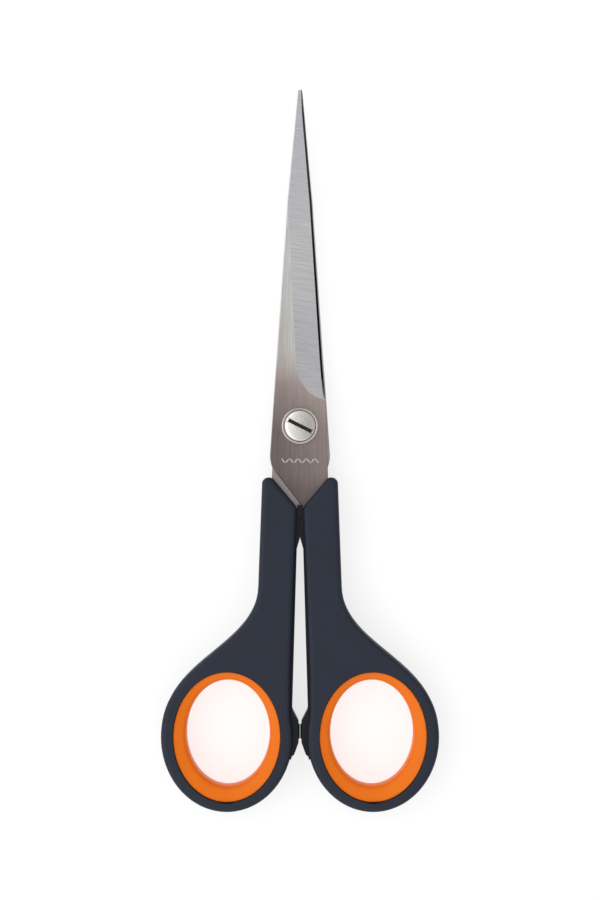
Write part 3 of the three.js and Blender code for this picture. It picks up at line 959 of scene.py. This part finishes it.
def mark_tree() -> Tree:
    """A row of short dashes, every other one tilted the other way, like a line of stitches.

    Returns:
        The geometry tree.
    """
    tree, given = new_geometry_tree("stitch_row_mark", {
        "Count": "Int", "Start": "Vector", "Step": "Vector", "Dash": "Vector", "Tilt": "Float"})
    line = add(tree, "GeometryNodeMeshLine", {
        "Count": given["Count"], "Start Location": given["Start"], "Offset": given["Step"]})
    dash = add(tree, "GeometryNodeMeshCylinder", {"Vertices": 14, "Radius": 0.5, "Depth": 1.0})
    index = add(tree, "GeometryNodeInputIndex").outputs[0]
    parity = add(tree, "ShaderNodeMath", {0: index, 1: 2.0}, operation="MODULO").outputs[0]
    swing = add(tree, "ShaderNodeMapRange", {"Value": parity, "To Min": -1.0, "To Max": 1.0})
    tilt = add(tree, "ShaderNodeMath", {
        0: swing.outputs[0], 1: given["Tilt"]}, operation="MULTIPLY").outputs[0]
    turn = add(tree, "ShaderNodeCombineXYZ", {"Z": tilt}).outputs[0]
    row = add(tree, "GeometryNodeInstanceOnPoints", {
        "Points": line.outputs["Mesh"], "Instance": dash.outputs["Mesh"], "Rotation": turn,
        "Scale": given["Dash"]})
    close_tree(tree, row.outputs[0], given["Material"])
    return tree


# ---- sub-assemblies ----


@dataclass
class Blade:
    """A stamped and ground blade with its tang, the same for both halves."""

    materials: Materials
    mark: Tree
    inner_face: float = 0.15
    outer_face: float = 1.95
    corner: float = 0.18
    corner_share: float = 0.3
    support: float = 0.05
    fall: float = 0.215
    heel: float = 6.5
    honing_start: float = 0.4
    edge_reach: float = 2.2
    land: float = 0.56
    edge_left: float = 0.05
    runout: float = 7.0
    bore: float = 2.5
    butt_y: float = -44.0
    tip_y: float = 84.0
    tip_cap: float = 0.03
    grind_start: Point = (-0.9, 14.0)
    grind_lean: float = 2.2 / 41.5
    grind_bend: Point = (0.9, 7.5)
    grind_end: Point = (6.35, 6.5)
    flat_columns: int = 6
    ground_columns: int = 10
    least_spacing: float = 0.09
    least_under: float = 0.012
    under_share: float = 0.6
    inner_columns: Point = (0.35, 0.65)
    mark_count: int = 9
    mark_start: Point = (-4.2, -8.7)
    mark_step: float = 1.05
    mark_dash: tuple[float, float, float] = (1.5, 0.34, 0.045)
    mark_tilt: float = 52.0
    spine_side: tuple[Point, ...] = (
        (-44.0, 3.9), (-22.3, 2.9), (-21.1, 1.67), (-20.3, 0.75), (-10.3, -7.0), (-9.3, -7.28),
        (-8.4, -7.43), (-7.5, -7.5), (-6.0, -7.4), (55.5, -3.25), (83.3, -0.66),
        (83.85, -0.25), (84.0, 0.2))
    edge_side: tuple[Point, ...] = (
        (-44.0, 5.5), (-14.9, 6.5), (-13.7, 7.9), (-12.9, 7.0), (6.5, 6.35), (8.4, 6.22),
        (10.3, 6.03), (12.0, 5.84), (14.0, 5.67), (17.0, 5.45), (55.5, 2.95), (83.7, 0.55),
        (84.0, 0.45))

    def run_out(self) -> Outline:
        """The curve along which grinding ends above the heel, as (x, y)."""
        return bezier([self.grind_start, self.grind_bend, self.grind_end], 40)

    def line_at(self, y: float) -> float:
        """Where the straight grind line, drawn on for ever, crosses a height."""
        return self.grind_start[0] - (y - self.grind_start[1]) * self.grind_lean

    def crease_at(self, y: float) -> float:
        """Where the ground face starts at a height, on the line or on its run-out."""
        if y >= self.grind_start[1]:
            return self.line_at(y)
        return between([(b, a) for a, b in reversed(self.run_out())], y)

    def surface(self, x: float, y: float) -> float:
        """Height of the ground outer face.

        Args:
            x: place across the blade.
            y: place along the blade.

        Returns:
            The height over that point.
        """
        past_line = x - self.line_at(y)
        if past_line <= 0 or y < self.heel:
            return self.outer_face
        ends = between(self.run_out(), x)
        left = 1 - max(0.0, min(1.0, (y - ends) / self.runout))
        return self.outer_face - self.fall * past_line * (1 - left * left)

    def section(self, y: float) -> tuple[Outline, list[Face]]:
        """One cut across the blade.

        Args:
            y: height of the cut.

        Returns:
            The (x, z) points of the closed section, and the face that follows each.
        """
        left, right = between(self.spine_side, y), between(self.edge_side, y)
        low = self.inner_face
        sharp = smooth_step((y - self.heel + self.honing_start) / self.edge_reach)
        room = (right - left) / 4
        corner = min(self.corner, room)
        land = min(self.corner + (self.land - self.corner) * sharp, room)
        start, end = left + corner, right - land
        crease = max(start + room / 8, min(self.crease_at(y), end - room / 8))
        # One narrow column beside the corner keeps the shading of the flat even.
        support = start + min(self.support, (crease - start) / self.flat_columns)
        rest = self.flat_columns - 1
        columns = [start] + [support + (crease - support) * i / rest for i in range(rest)]
        across = (end - crease) / self.ground_columns
        columns += [crease + across * i for i in range(self.ground_columns + 1)]
        spine = self.surface(start, y)
        bevel = corner * self.corner_share
        points = [(left, spine - corner), (left + bevel, spine - bevel)]
        points += [(x, self.surface(x, y)) for x in columns]
        kinds = [Face.FLAT] * (2 + self.flat_columns)
        kinds += [Face.GROUND if y > self.heel else Face.FLAT] * self.ground_columns
        kinds += [Face.HONED if y > self.heel + self.honing_start else Face.FLAT]
        full = self.surface(end, y) - corner
        edge_height = full + (low + self.edge_left - full) * sharp
        under = max(self.least_under, min(corner, (edge_height - low) / 2))
        points += [(right, edge_height), (right, low + under * self.under_share)]
        points += [(right - under, low)]
        points += [(right - (right - left) * share, low) for share in self.inner_columns]
        points += [(left + corner, low), (left + bevel, low + bevel), (left, low + corner)]
        kinds += [Face.FLAT] * 2 + [Face.INNER] * 3
        kinds += [Face.FLAT] * (len(points) - len(kinds))
        return points, kinds

    def stations(self) -> list[float]:
        """Heights of the cuts: at every corner of the outline, and closer where it bends.

        Returns:
            The heights, sorted.
        """
        corners = {y for y, _ in self.spine_side + self.edge_side}
        others = {self.butt_y + 0.8 * i for i in range(160)}
        others |= {self.heel - 0.9 + 0.2 * i for i in range(56)}
        others |= {self.tip_y - 2.0 + 0.2 * i for i in range(10)}
        merged: list[float] = []
        for y in sorted(corners) + sorted(others):
            spaced = all(abs(y - other) > self.least_spacing for other in merged)
            if y < self.tip_y and spaced:
                merged.append(y)
        return sorted(merged) + [self.tip_y - self.tip_cap]

    def tang(self, gap: float = 0.03, above: float = -12.0) -> Solid:
        """The tang with a little room round it, to be cut out of what is moulded over it.

        Args:
            gap: room on every side.
            above: height below which the blade is tang.

        Returns:
            The solid.
        """
        heights = sorted(
            {y for y, _ in self.spine_side + self.edge_side if y < above} | {above - 1.0})
        left = [(between(self.spine_side, y), y) for y in heights]
        right = [(between(self.edge_side, y), y) for y in heights]
        outline = offset(anticlockwise(left[::-1] + right), gap)
        return rounded_plate(outline, [], self.inner_face - gap, self.outer_face + gap, 0.01, 1)

    def build(self, half: Half) -> None:
        """Makes and dresses one blade.

        Args:
            half: the half that it belongs to.
        """
        points: list[tuple[float, float, float]] = []
        faces: list[tuple[int, ...]] = []
        kinds: list[Face] = []
        size = 0
        for row, y in enumerate(self.stations()):
            section, finish = self.section(y)
            size = len(section)
            points += [(x, y, z) for x, z in section]
            if row:
                faces += band((row - 1) * size, size)
                kinds += finish
        faces += [tuple(range(size)), tuple(range(len(points) - size, len(points)))]
        blade = make_piece(f"{half.blade}_ground", (points, faces), half.turn)
        dress(blade, *(
            self.materials[f] for f in (Finish.FLAT, Finish.GROUND, Finish.HONED, Finish.INNER)))
        for polygon, kind in zip(blade.data.polygons, kinds):
            polygon.material_index = kind
        hole = turned_solid([(0, -1.0), (self.bore, -1.0), (self.bore, 3.0), (0, 3.0)], 96)
        carve(blade, make_piece("blade_bore", hole, half.turn))
        settle(blade, half.body, half.blade, 28.0)

    def build_mark(self) -> None:
        """Etches a plain row of stitches across the root of the front blade."""
        start = Vector((*self.mark_start, self.outer_face - 0.01)) + PIVOT
        mark = run_tree(self.mark, "etched_stitch_mark", {
            "Count": self.mark_count, "Start": start * MM,
            "Step": Vector((self.mark_step, 0, 0)) * MM, "Dash": Vector(self.mark_dash) * MM,
            "Tilt": math.radians(self.mark_tilt), "Material": self.materials[Finish.ETCHED]})
        settle(mark, Half.FRONT.body, None)


@dataclass
class Handle:
    """A soft cover over a hard core, with a lined finger loop and a closing stop."""

    materials: Materials
    ring: Tree
    tang: Solid
    collar_y: float = -12.9
    collar_outer: float = 9.4
    collar_round: float = 1.5
    notch_outer: float = 7.0
    notch_inner: float = 0.75
    notch_y: float = -20.3
    notch_round: float = 2.2
    shoulder_round: float = 1.6
    waist: Point = (10.4, -40.0)
    crotch: Point = (2.3, -62.0)
    flare_angle: float = 8.0
    top_pull: float = 15.0
    low_pull: float = 17.0
    inner_angle: float = 165.0
    rim_side: float = 3.0
    rim_end: float = 2.45
    edge_round: float = 1.2
    bore_lip: float = 0.18
    cover_wall: float = 1.5
    core_inset: float = 1.65
    core_proud: float = 0.35
    core_half: float = 3.3
    core_round: float = 0.12
    core_room: float = 0.04
    core_eye: float = 0.05
    core_lip: float = 0.35
    lip_drop: float = 0.9
    apex_inset: float = 0.15
    apex_round: float = 0.6
    notch_play: Point = (0.02, 0.05)
    room_round: float = 0.2
    seam: float = 0.001
    meet_top: float = 0.85
    meet_low: Point = (0.8, -30.6)
    meet_end: float = -27.8
    meet_round: float = 0.9
    stop_y: float = -76.3
    stop_half: float = 2.5
    stop_flank: float = 3.2
    stop_face: float = 0.35
    stop_tail: float = 1.0
    stop_step: float = 0.45
    stop_rounds: Point = (1.0, 1.5)
    pad_corner: float = 0.3
    pad_edge: float = 0.22
    liner_outside: float = 3.35
    liner_inside: float = 2.75
    liner_top: float = 2.1
    liner_bottom: float = 4.1
    liner_play: float = 0.02
    liner_funnel: float = 0.2
    liner_powers: Point = (0.12, 0.5)

    def __post_init__(self) -> None:
        """Reads the loop's place and the handle's thickness from the frame."""
        low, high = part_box("right_loop_liner")
        self.centre = tuple(((low + high) / 2 / MM - PIVOT)[:2])
        self.liner = tuple(((high - low) / 2 / MM)[:2])
        self.liner_half = (high - low).z / 2 / MM
        low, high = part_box("right_soft_grip")
        self.half = (high - low).z / 2 / MM

    def loop_radii(self) -> Point:
        """Half width and half length of the loop's outside."""
        return self.liner[0] + self.rim_side, self.liner[1] + self.rim_end

    def bore_outline(self, grow: float = 0.0) -> Outline:
        """The hole that the liner sits in, moved out by a distance."""
        radii = (self.liner[0] + grow, self.liner[1] + grow)
        return arc(self.centre, radii, 0, 360, 120)[:-1]

    def open_angle(self, y: float) -> float:
        """Angle at which the loop's outside reaches a height on its inner lower side."""
        return -180 + math.degrees(math.asin((self.centre[1] - y) / self.loop_radii()[1]))

    def outer_side(self, steps: int = 44) -> Outline:
        """From the waist down the flare and round the loop to below the closing stop.

        Args:
            steps: chords round the loop.

        Returns:
            The open outline.
        """
        stop_end = self.stop_y - self.stop_half - self.stop_flank - self.stop_tail
        loop = arc(
            self.centre, self.loop_radii(), self.flare_angle, self.open_angle(stop_end), steps)
        top = Vector((self.collar_outer, self.collar_y - self.collar_round))
        waist = Vector(self.waist)
        down = (waist - top).normalized()
        along = (Vector(loop[1]) - Vector(loop[0])).normalized()
        controls = [
            waist, waist + down * self.top_pull, Vector(loop[0]) - along * self.low_pull,
            Vector(loop[0])]
        return bezier([tuple(c) for c in controls], 30) + loop[1:]

    def facing_side(self, steps: int = 12) -> Outline:
        """The part of the loop that faces the other one, from below the stop upwards.

        Args:
            steps: chords along it.

        Returns:
            The open outline.
        """
        start = self.open_angle(self.outer_side()[-1][1])
        return arc(self.centre, self.loop_radii(), start, self.inner_angle - 360, steps)

    def cover_outline(self) -> Outline:
        """The soft cover's outline.

        Returns:
            The closed outline.
        """
        corners = [
            (self.notch_inner, self.notch_y, self.notch_round),
            (self.notch_outer, self.collar_y, self.shoulder_round),
            (self.collar_outer, self.collar_y, self.collar_round)]
        sides = self.outer_side() + self.facing_side()[1:] + [self.crotch]
        return fillet(corners + [(x, y, 0.0) for x, y in sides])

    def core_outline(self, grow: float = 0.0) -> Outline:
        """The hard core's outline, with the meeting block and the stop lug.

        Args:
            grow: distance by which the outline is moved out.

        Returns:
            The closed outline.
        """
        slope = (self.collar_y - self.notch_y) / (self.notch_outer - self.notch_inner)
        drop = self.cover_wall * math.hypot(1, slope)
        lip = self.notch_inner + self.core_lip
        apex = self.collar_outer - self.apex_inset - self.core_inset
        notch = [
            (x, self.notch_y + (x - self.notch_inner) * slope - drop) for x in (lip, apex)]
        outer = offset(self.outer_side()[::-1], -self.core_inset, closed=False)[::-1]
        facing = offset(self.facing_side()[::-1], self.core_proud, closed=False)[::-1]
        flank = self.crotch[0] - self.core_proud
        root = self.stop_half + self.stop_flank
        below = [(x, y, 0.0) for x, y in facing if y < self.stop_y - root]
        # From the meeting block's top, through the notch, down the outer side and the loop.
        corners = [
            (self.seam, self.notch_y + self.meet_top, 0.0),
            (self.notch_inner - self.notch_play[0], self.notch_y - self.notch_play[1], 0.0),
            (lip, self.notch_y - self.lip_drop, 0.0), (*notch[0], 0.0),
            (*notch[1], self.apex_round)]
        corners += [(x, y, 0.0) for x, y in outer] + below
        # Then up the stop lug and the facing side to the meeting block.
        corners += [
            (flank - self.stop_step, self.stop_y - root, self.stop_rounds[0]),
            (self.stop_face, self.stop_y - self.stop_half, self.meet_round),
            (self.stop_face, self.stop_y + self.stop_half, self.meet_round),
            (flank, self.stop_y + root, self.stop_rounds[1]),
            (*self.meet_low, self.meet_round), (self.seam, self.meet_end, self.meet_round)]
        outline = fillet(corners, 5)
        return offset(anticlockwise(outline), grow) if grow else outline

    def cover_plate(self) -> Solid:
        """The cover's plate with a small lip, not a full round, at the liner's bore.

        Returns:
            Points and faces of the plate.
        """
        outline = self.cover_outline()
        points, faces = rounded_plate(
            outline, [self.bore_outline()], -self.half, self.half, self.edge_round)
        share = self.bore_lip / self.edge_round
        first = len(outline) * 2 * (PLATE_STEPS + 2)
        shaped = list(points[:first])
        middle, radii = Vector(self.centre), Vector(self.liner)
        for x, y, z in points[first:]:
            angle = math.atan2((y - middle.y) / radii.y, (x - middle.x) / radii.x)
            on_bore = middle + Vector((radii.x * math.cos(angle), radii.y * math.sin(angle)))
            here = on_bore + (Vector((x, y)) - on_bore) * share
            depth = (self.half - abs(z)) * share
            shaped.append((here.x, here.y, math.copysign(self.half - depth, z)))
        return shaped, faces

    def build_cover(self, half: Half) -> None:
        """Moulds the soft cover, open along its inner side where the core shows.

        Args:
            half: the half that it belongs to.
        """
        cover = make_piece(f"{half.side}_soft_cover", self.cover_plate(), half.turn)
        reach = self.core_half + self.core_room
        room = rounded_plate(
            self.core_outline(self.core_room), [], -reach, reach, self.room_round, 2)
        carve(cover, make_piece("core_room", room, half.turn))
        carve(cover, make_piece("tang_room", self.tang, half.turn))
        dress(cover, self.materials[Finish.SOFT])
        settle(cover, half.body, f"{half.side}_soft_grip")

    def build_core(self, half: Half) -> None:
        """Moulds the hard core.

        Args:
            half: the half that it belongs to.
        """
        plate = rounded_plate(
            self.core_outline(), [self.bore_outline(self.core_eye)], -self.core_half,
            self.core_half, self.core_round, 3)
        core = make_piece(f"{half.side}_hard_core", plate, half.turn)
        carve(core, make_piece("tang_room", self.tang, half.turn))
        dress(core, self.materials[Finish.CORE])
        settle(core, half.body, f"{half.side}_handle_core")

    def build_liner(self, half: Half) -> None:
        """Makes the loop's liner, square against the cover and rounded into the hole.

        Args:
            half: the half that it belongs to.
        """
        centre = Vector((self.centre[0] * half.turn, self.centre[1], 0)) + PIVOT
        shift = Vector((
            (self.liner_inside - self.liner_outside) / 2 * half.turn,
            (self.liner_bottom - self.liner_top) / 2, 0))
        width = self.liner[0] - (self.liner_outside + self.liner_inside) / 2
        length = self.liner[1] - (self.liner_top + self.liner_bottom) / 2
        liner = run_tree(self.ring, f"{half.side}_orange_liner", {
            "Around": 161, "Section": 61, "Centre": centre * MM, "Hole Shift": shift * MM,
            "Outer Width": (self.liner[0] - self.liner_play) * MM,
            "Outer Length": (self.liner[1] - self.liner_play) * MM,
            "Hole Width": width * MM, "Hole Length": length * MM,
            "Half Height": self.liner_half * MM, "Dish": 0.0, "Funnel": self.liner_funnel,
            "Outer Power": self.liner_powers[0], "Inner Power": self.liner_powers[1],
            "Material": self.materials[Finish.LINER]})
        settle(liner, half.body, f"{half.side}_loop_liner", 60.0)

    def build_pad(self, half: Half) -> None:
        """Makes the bumper on the stop lug.

        Args:
            half: the half that it belongs to.
        """
        low, high = (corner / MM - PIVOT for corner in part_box("right_stop_pad"))
        outline = fillet([
            (low.x, low.y, self.pad_corner), (high.x, low.y, 0.0), (high.x, high.y, 0.0),
            (low.x, high.y, self.pad_corner)], 4)
        plate = rounded_plate(outline, [], low.z, high.z, self.pad_edge, 4)
        pad = make_piece(f"{half.side}_rubber_bumper", plate, half.turn)
        dress(pad, self.materials[Finish.PAD])
        settle(pad, half.body, f"{half.side}_stop_pad")

    def build(self, half: Half) -> None:
        """Makes and dresses one handle.

        Args:
            half: the half that it belongs to.
        """
        self.build_cover(half)
        self.build_core(half)
        self.build_liner(half)
        self.build_pad(half)


@dataclass
class Pivot:
    """The adjusting screw, its cup, and what is stacked under it."""

    materials: Materials
    ring: Tree
    body: str = Half.REAR.body
    slot_angle: float = -26.6
    slot_width: float = 0.92
    slot_depth: float = 0.7
    slot_end: float = 0.55
    shank: float = 1.5
    tip_chamfer: float = 0.3
    thread_start: float = 0.2
    thread_end: float = 0.5
    thread_pitch: float = 0.5
    thread_depth: float = 0.16
    head_height: float = 1.15
    broken_edge: float = 0.1
    neck: Point = (0.05, 0.35)
    neck_fillet: Point = (0.12, 0.08)
    shoulder: tuple[Point, ...] = ((0.0, 0.4), (0.03, 0.31), (0.1, 0.24), (0.22, 0.19))
    dome: tuple[Point, ...] = ((0.8, 0.13), (0.6, 0.07), (0.4, 0.03), (0.2, 0.005))
    cup_rim: float = 4.0
    cup_floor: float = 0.5
    cup_round: float = 0.2
    cup_crest: float = 0.3
    clear_hole: float = 1.6
    nut_radius: float = 4.2
    nut_flange: float = 1.1
    nut_slot: Point = (0.9, 0.5)
    nut_crown: tuple[Point, ...] = ((0.5, 0.0), (0.22, 0.05), (0.06, 0.18), (0.0, 0.36))
    sleeve: float = 2.4
    washer_hole: float = 2.5
    spring_dish: float = 0.25

    def span(self, node: str) -> tuple[float, float, float]:
        """Outer radius, lowest and highest height of a round node about the pivot."""
        low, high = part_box(node)
        return (high.x - low.x) / 2 / MM, low.z / MM - PIVOT.z, high.z / MM - PIVOT.z

    def slot_cutter(
            self, length: float, width: float, low: float, high: float, degrees: float) -> Piece:
        """A straight slot with round ends, turned about the pivot.

        Args:
            length: length over the round ends.
            width: width of the slot.
            low: height of its floor.
            high: height of its top.
            degrees: turn about the pivot.

        Returns:
            The cutter.
        """
        reach, half = length / 2 - width / 2, width / 2
        outline = arc((reach, 0), (half, half), -90, 90, 12)
        outline += arc((-reach, 0), (half, half), 90, 270, 12)
        cosine, sine = math.cos(math.radians(degrees)), math.sin(math.radians(degrees))
        turned = [(x * cosine - y * sine, x * sine + y * cosine) for x, y in outline]
        return make_piece("slot", rounded_plate(turned, [], low, high, 0.03, 1))

    def build_screw(self) -> None:
        """Turns the screw: a slotted head with a broken edge over a threaded shank."""
        radius, low, high = self.span("pivot_screw")
        seat, shank, pitch = high - self.head_height, self.shank, self.thread_pitch
        profile = [(0.0, low), (shank - self.tip_chamfer, low)]
        for i in range(int((seat - self.thread_end - low - self.thread_start) / pitch)):
            base = low + self.thread_start + i * pitch
            profile += [(shank - self.thread_depth, base), (shank, base + pitch / 2)]
        profile += [
            (shank - self.neck[0], seat - self.neck[1]),
            (shank - self.neck[0], seat - self.neck_fillet[1]),
            (shank + self.neck_fillet[0], seat), (radius - self.broken_edge, seat),
            (radius, seat + self.broken_edge)]
        profile += [(radius - inset, high - drop) for inset, drop in self.shoulder]
        profile += [(radius * share, high - drop) for share, drop in self.dome] + [(0.0, high)]
        screw = make_piece("slotted_pivot_screw", turned_solid(profile))
        length = 2 * (radius - self.slot_end)
        floor = high - self.slot_depth
        carve(screw, self.slot_cutter(length, self.slot_width, floor, high + 1, self.slot_angle))
        dress(screw, self.materials[Finish.SCREW], self.materials[Finish.SLOT_SHADE])
        # Faces inside the slot take the nearly black painted shade.
        turn = math.radians(self.slot_angle)
        play = 0.005
        for polygon in screw.data.polygons:
            place = polygon.center / MM - PIVOT
            along = abs(place.x * math.cos(turn) + place.y * math.sin(turn))
            aside = abs(place.y * math.cos(turn) - place.x * math.sin(turn))
            within = aside < self.slot_width / 2 + play and along < length / 2 + play
            polygon.material_index = int(within and place.z > floor - 2 * play)
        settle(screw, "tension_screw", "pivot_screw")

    def build_cup(self) -> None:
        """Presses the cup that rings the screw head."""
        radius, low, high = self.span("screw_cup_washer")
        rim, seat, hole, inner = self.cup_rim, low + self.cup_floor, self.clear_hole, self.cup_round
        middle = (radius - self.cup_crest, high - self.cup_crest)
        edge = self.broken_edge
        profile = [(hole, low), (radius - edge, low), (radius, low + edge)]
        profile += arc(middle, (self.cup_crest, self.cup_crest), 0, 90, 6)
        profile += [
            (rim + inner, high), (rim + inner * 0.3, high - inner * 0.3), (rim, high - inner),
            (rim, seat + edge), (rim - edge, seat), (hole, seat)]
        cup = make_piece("pressed_cup_washer", turned_solid(profile))
        dress(cup, self.materials[Finish.CUP])
        settle(cup, self.body, "screw_cup_washer")

    def build_nut(self) -> None:
        """Turns the sleeve nut and mills the slot that holds it."""
        _, low, high = self.span("pivot_sleeve_nut")
        radius, sleeve, bore = self.nut_radius, self.sleeve, self.clear_hole
        top = low + self.nut_flange
        edge = self.broken_edge
        profile = [(bore + edge, low + edge / 2)]
        profile += [(radius - inset, low + rise) for inset, rise in self.nut_crown]
        profile += [
            (radius, top - edge), (radius - edge, top), (sleeve + 0.08, top),
            (sleeve, top + 0.08), (sleeve, high - 0.12), (sleeve - 0.12, high),
            (bore + edge, high), (bore, high - edge), (bore, low + edge * 1.5)]
        nut = make_piece("round_sleeve_nut", turned_solid(profile))
        width, depth = self.nut_slot
        carve(nut, self.slot_cutter(4 * radius, width, low - 1, low + depth, 0.0))
        dress(nut, self.materials[Finish.NUT])
        settle(nut, self.body, "pivot_sleeve_nut")

    def build_washer(self, node: str, name: str, dish: float, finish: Finish) -> None:
        """Makes one of the two flat rings.

        Args:
            node: CAD node that it stands for.
            name: name of the piece.
            dish: how much higher its inner edge is than its outer one.
            finish: its finish.
        """
        radius, low, high = self.span(node)
        stock = high - low - dish
        middle = PIVOT + Vector((0, 0, low + stock / 2))
        washer = run_tree(self.ring, name, {
            "Around": 121, "Section": 33, "Centre": middle * MM, "Hole Shift": Vector(),
            "Outer Width": radius * MM, "Outer Length": radius * MM,
            "Hole Width": self.washer_hole * MM, "Hole Length": self.washer_hole * MM,
            "Half Height": stock / 2 * MM, "Dish": dish * MM, "Funnel": 0.0,
            "Outer Power": 0.14, "Inner Power": 0.14, "Material": self.materials[finish]})
        settle(washer, self.body, node, 60.0)

    def build(self) -> None:
        """Makes and dresses the pivot."""
        self.build_screw()
        self.build_cup()
        self.build_nut()
        self.build_washer(
            "blade_washer", "nylon_blade_washer", 0.0, Finish.NYLON)
        self.build_washer(
            "spring_washer", "dished_spring_washer", self.spring_dish, Finish.SPRING)


@dataclass(frozen=True)
class SoftBox:
    """A rectangular soft light that faces the shears; places and sizes in metres."""

    name: str
    place: tuple[float, float, float]
    size: Point
    watts: float

    def hang(self) -> None:
        """Hangs the light in the scene."""
        data = bpy.data.lights.new(self.name, "AREA")
        data.shape = "RECTANGLE"
        data.size, data.size_y = self.size
        data.energy = self.watts
        light = bpy.data.objects.new(self.name, data)
        light.location = self.place
        light.rotation_euler = (-Vector(self.place)).to_track_quat("-Z", "Y").to_euler()
        bpy.context.scene.collection.objects.link(light)


@dataclass
class Studio:
    """A plain pale floor, soft light and the camera straight above; sizes in metres."""

    camera_height: float = 0.65
    view_height: float = 0.225
    sensor_mm: float = 24.0
    floor_size: float = 3.0
    floor_gap: float = 0.0002
    table_grey: float = 0.3
    table_glow: float = 0.75
    sky: tuple[Point, ...] = ((0.0, 0.1), (0.3, 0.3), (0.6, 0.75), (0.85, 0.8), (1.0, 0.62))
    key: SoftBox = SoftBox("key", (-0.74, 0.0, 0.66), (2.0, 1.6), 7.5)
    fill: SoftBox = SoftBox("fill", (0.1, -0.95, 0.7), (0.9, 0.4), 1.5)

    def build_floor(self) -> None:
        """Lays the floor under the handles."""
        half, low = self.floor_size / 2, -self.floor_gap
        mesh = bpy.data.meshes.new("floor")
        mesh.from_pydata([
            (-half, -half, low), (half, -half, low), (half, half, low), (-half, half, low)],
            [], [(0, 1, 2, 3)])
        floor = bpy.data.objects.new("floor", mesh)
        bpy.context.scene.collection.objects.link(floor)
        # Opal acrylic lit from below, as a product table is: it glows enough to lift shadows.
        material, tree = new_material("opal_light_table")
        shader = add(tree, "ShaderNodeBsdfPrincipled", {
            "Base Color": (*[self.table_grey] * 3, 1), "Roughness": 0.9,
            "Emission Color": (1, 1, 1, 1), "Emission Strength": self.table_glow})
        add(tree, "ShaderNodeOutputMaterial", {"Surface": shader.outputs[0]})
        mesh.materials.append(material)

    def build_world(self) -> None:
        """Surrounds the set with pale light that changes with height only."""
        world = bpy.data.worlds.new("studio")
        world.use_nodes = True
        tree = world.node_tree
        tree.nodes.clear()
        place = add(tree, "ShaderNodeTexCoord").outputs["Generated"]
        height = add(tree, "ShaderNodeSeparateXYZ", {"Vector": place}).outputs["Z"]
        ramp = add(tree, "ShaderNodeValToRGB", {"Fac": height})
        set_ramp(ramp, [(level, (glow, glow, glow, 1.0)) for level, glow in self.sky])
        light = add(tree, "ShaderNodeBackground", {
            "Color": ramp.outputs["Color"], "Strength": 1.0})
        add(tree, "ShaderNodeOutputWorld", {"Surface": light.outputs[0]})
        bpy.context.scene.world = world

    def build_camera(self) -> None:
        """Sets the camera straight above, level with the middle of the shears."""
        data = bpy.data.cameras.new("camera")
        data.sensor_fit = "VERTICAL"
        data.sensor_height = self.sensor_mm
        data.lens = self.sensor_mm * self.camera_height / self.view_height
        camera = bpy.data.objects.new("camera", data)
        camera.location = (0.0, 0.0, PIVOT.z * MM + self.camera_height)
        bpy.context.scene.collection.objects.link(camera)
        bpy.context.scene.camera = camera

    def build(self) -> None:
        """Makes the set."""
        self.build_camera()
        self.build_floor()
        self.build_world()
        self.key.hang()
        self.fill.hang()
        bpy.context.scene.view_settings.view_transform = "Standard"


def main() -> None:
    """Builds the set, then the shears round their frame, logging each piece's faces."""
    logging.basicConfig(level=logging.INFO, format="%(name)s: %(message)s")
    Studio().build()
    materials: Materials = {finish: finish.value.build() for finish in Finish}
    ring = ring_tree()
    blade = Blade(materials, mark_tree())
    handle = Handle(materials, ring, blade.tang())
    for half in Half:
        blade.build(half)
        handle.build(half)
    blade.build_mark()
    Pivot(materials, ring).build()


if __name__ == "__main__":
    main()
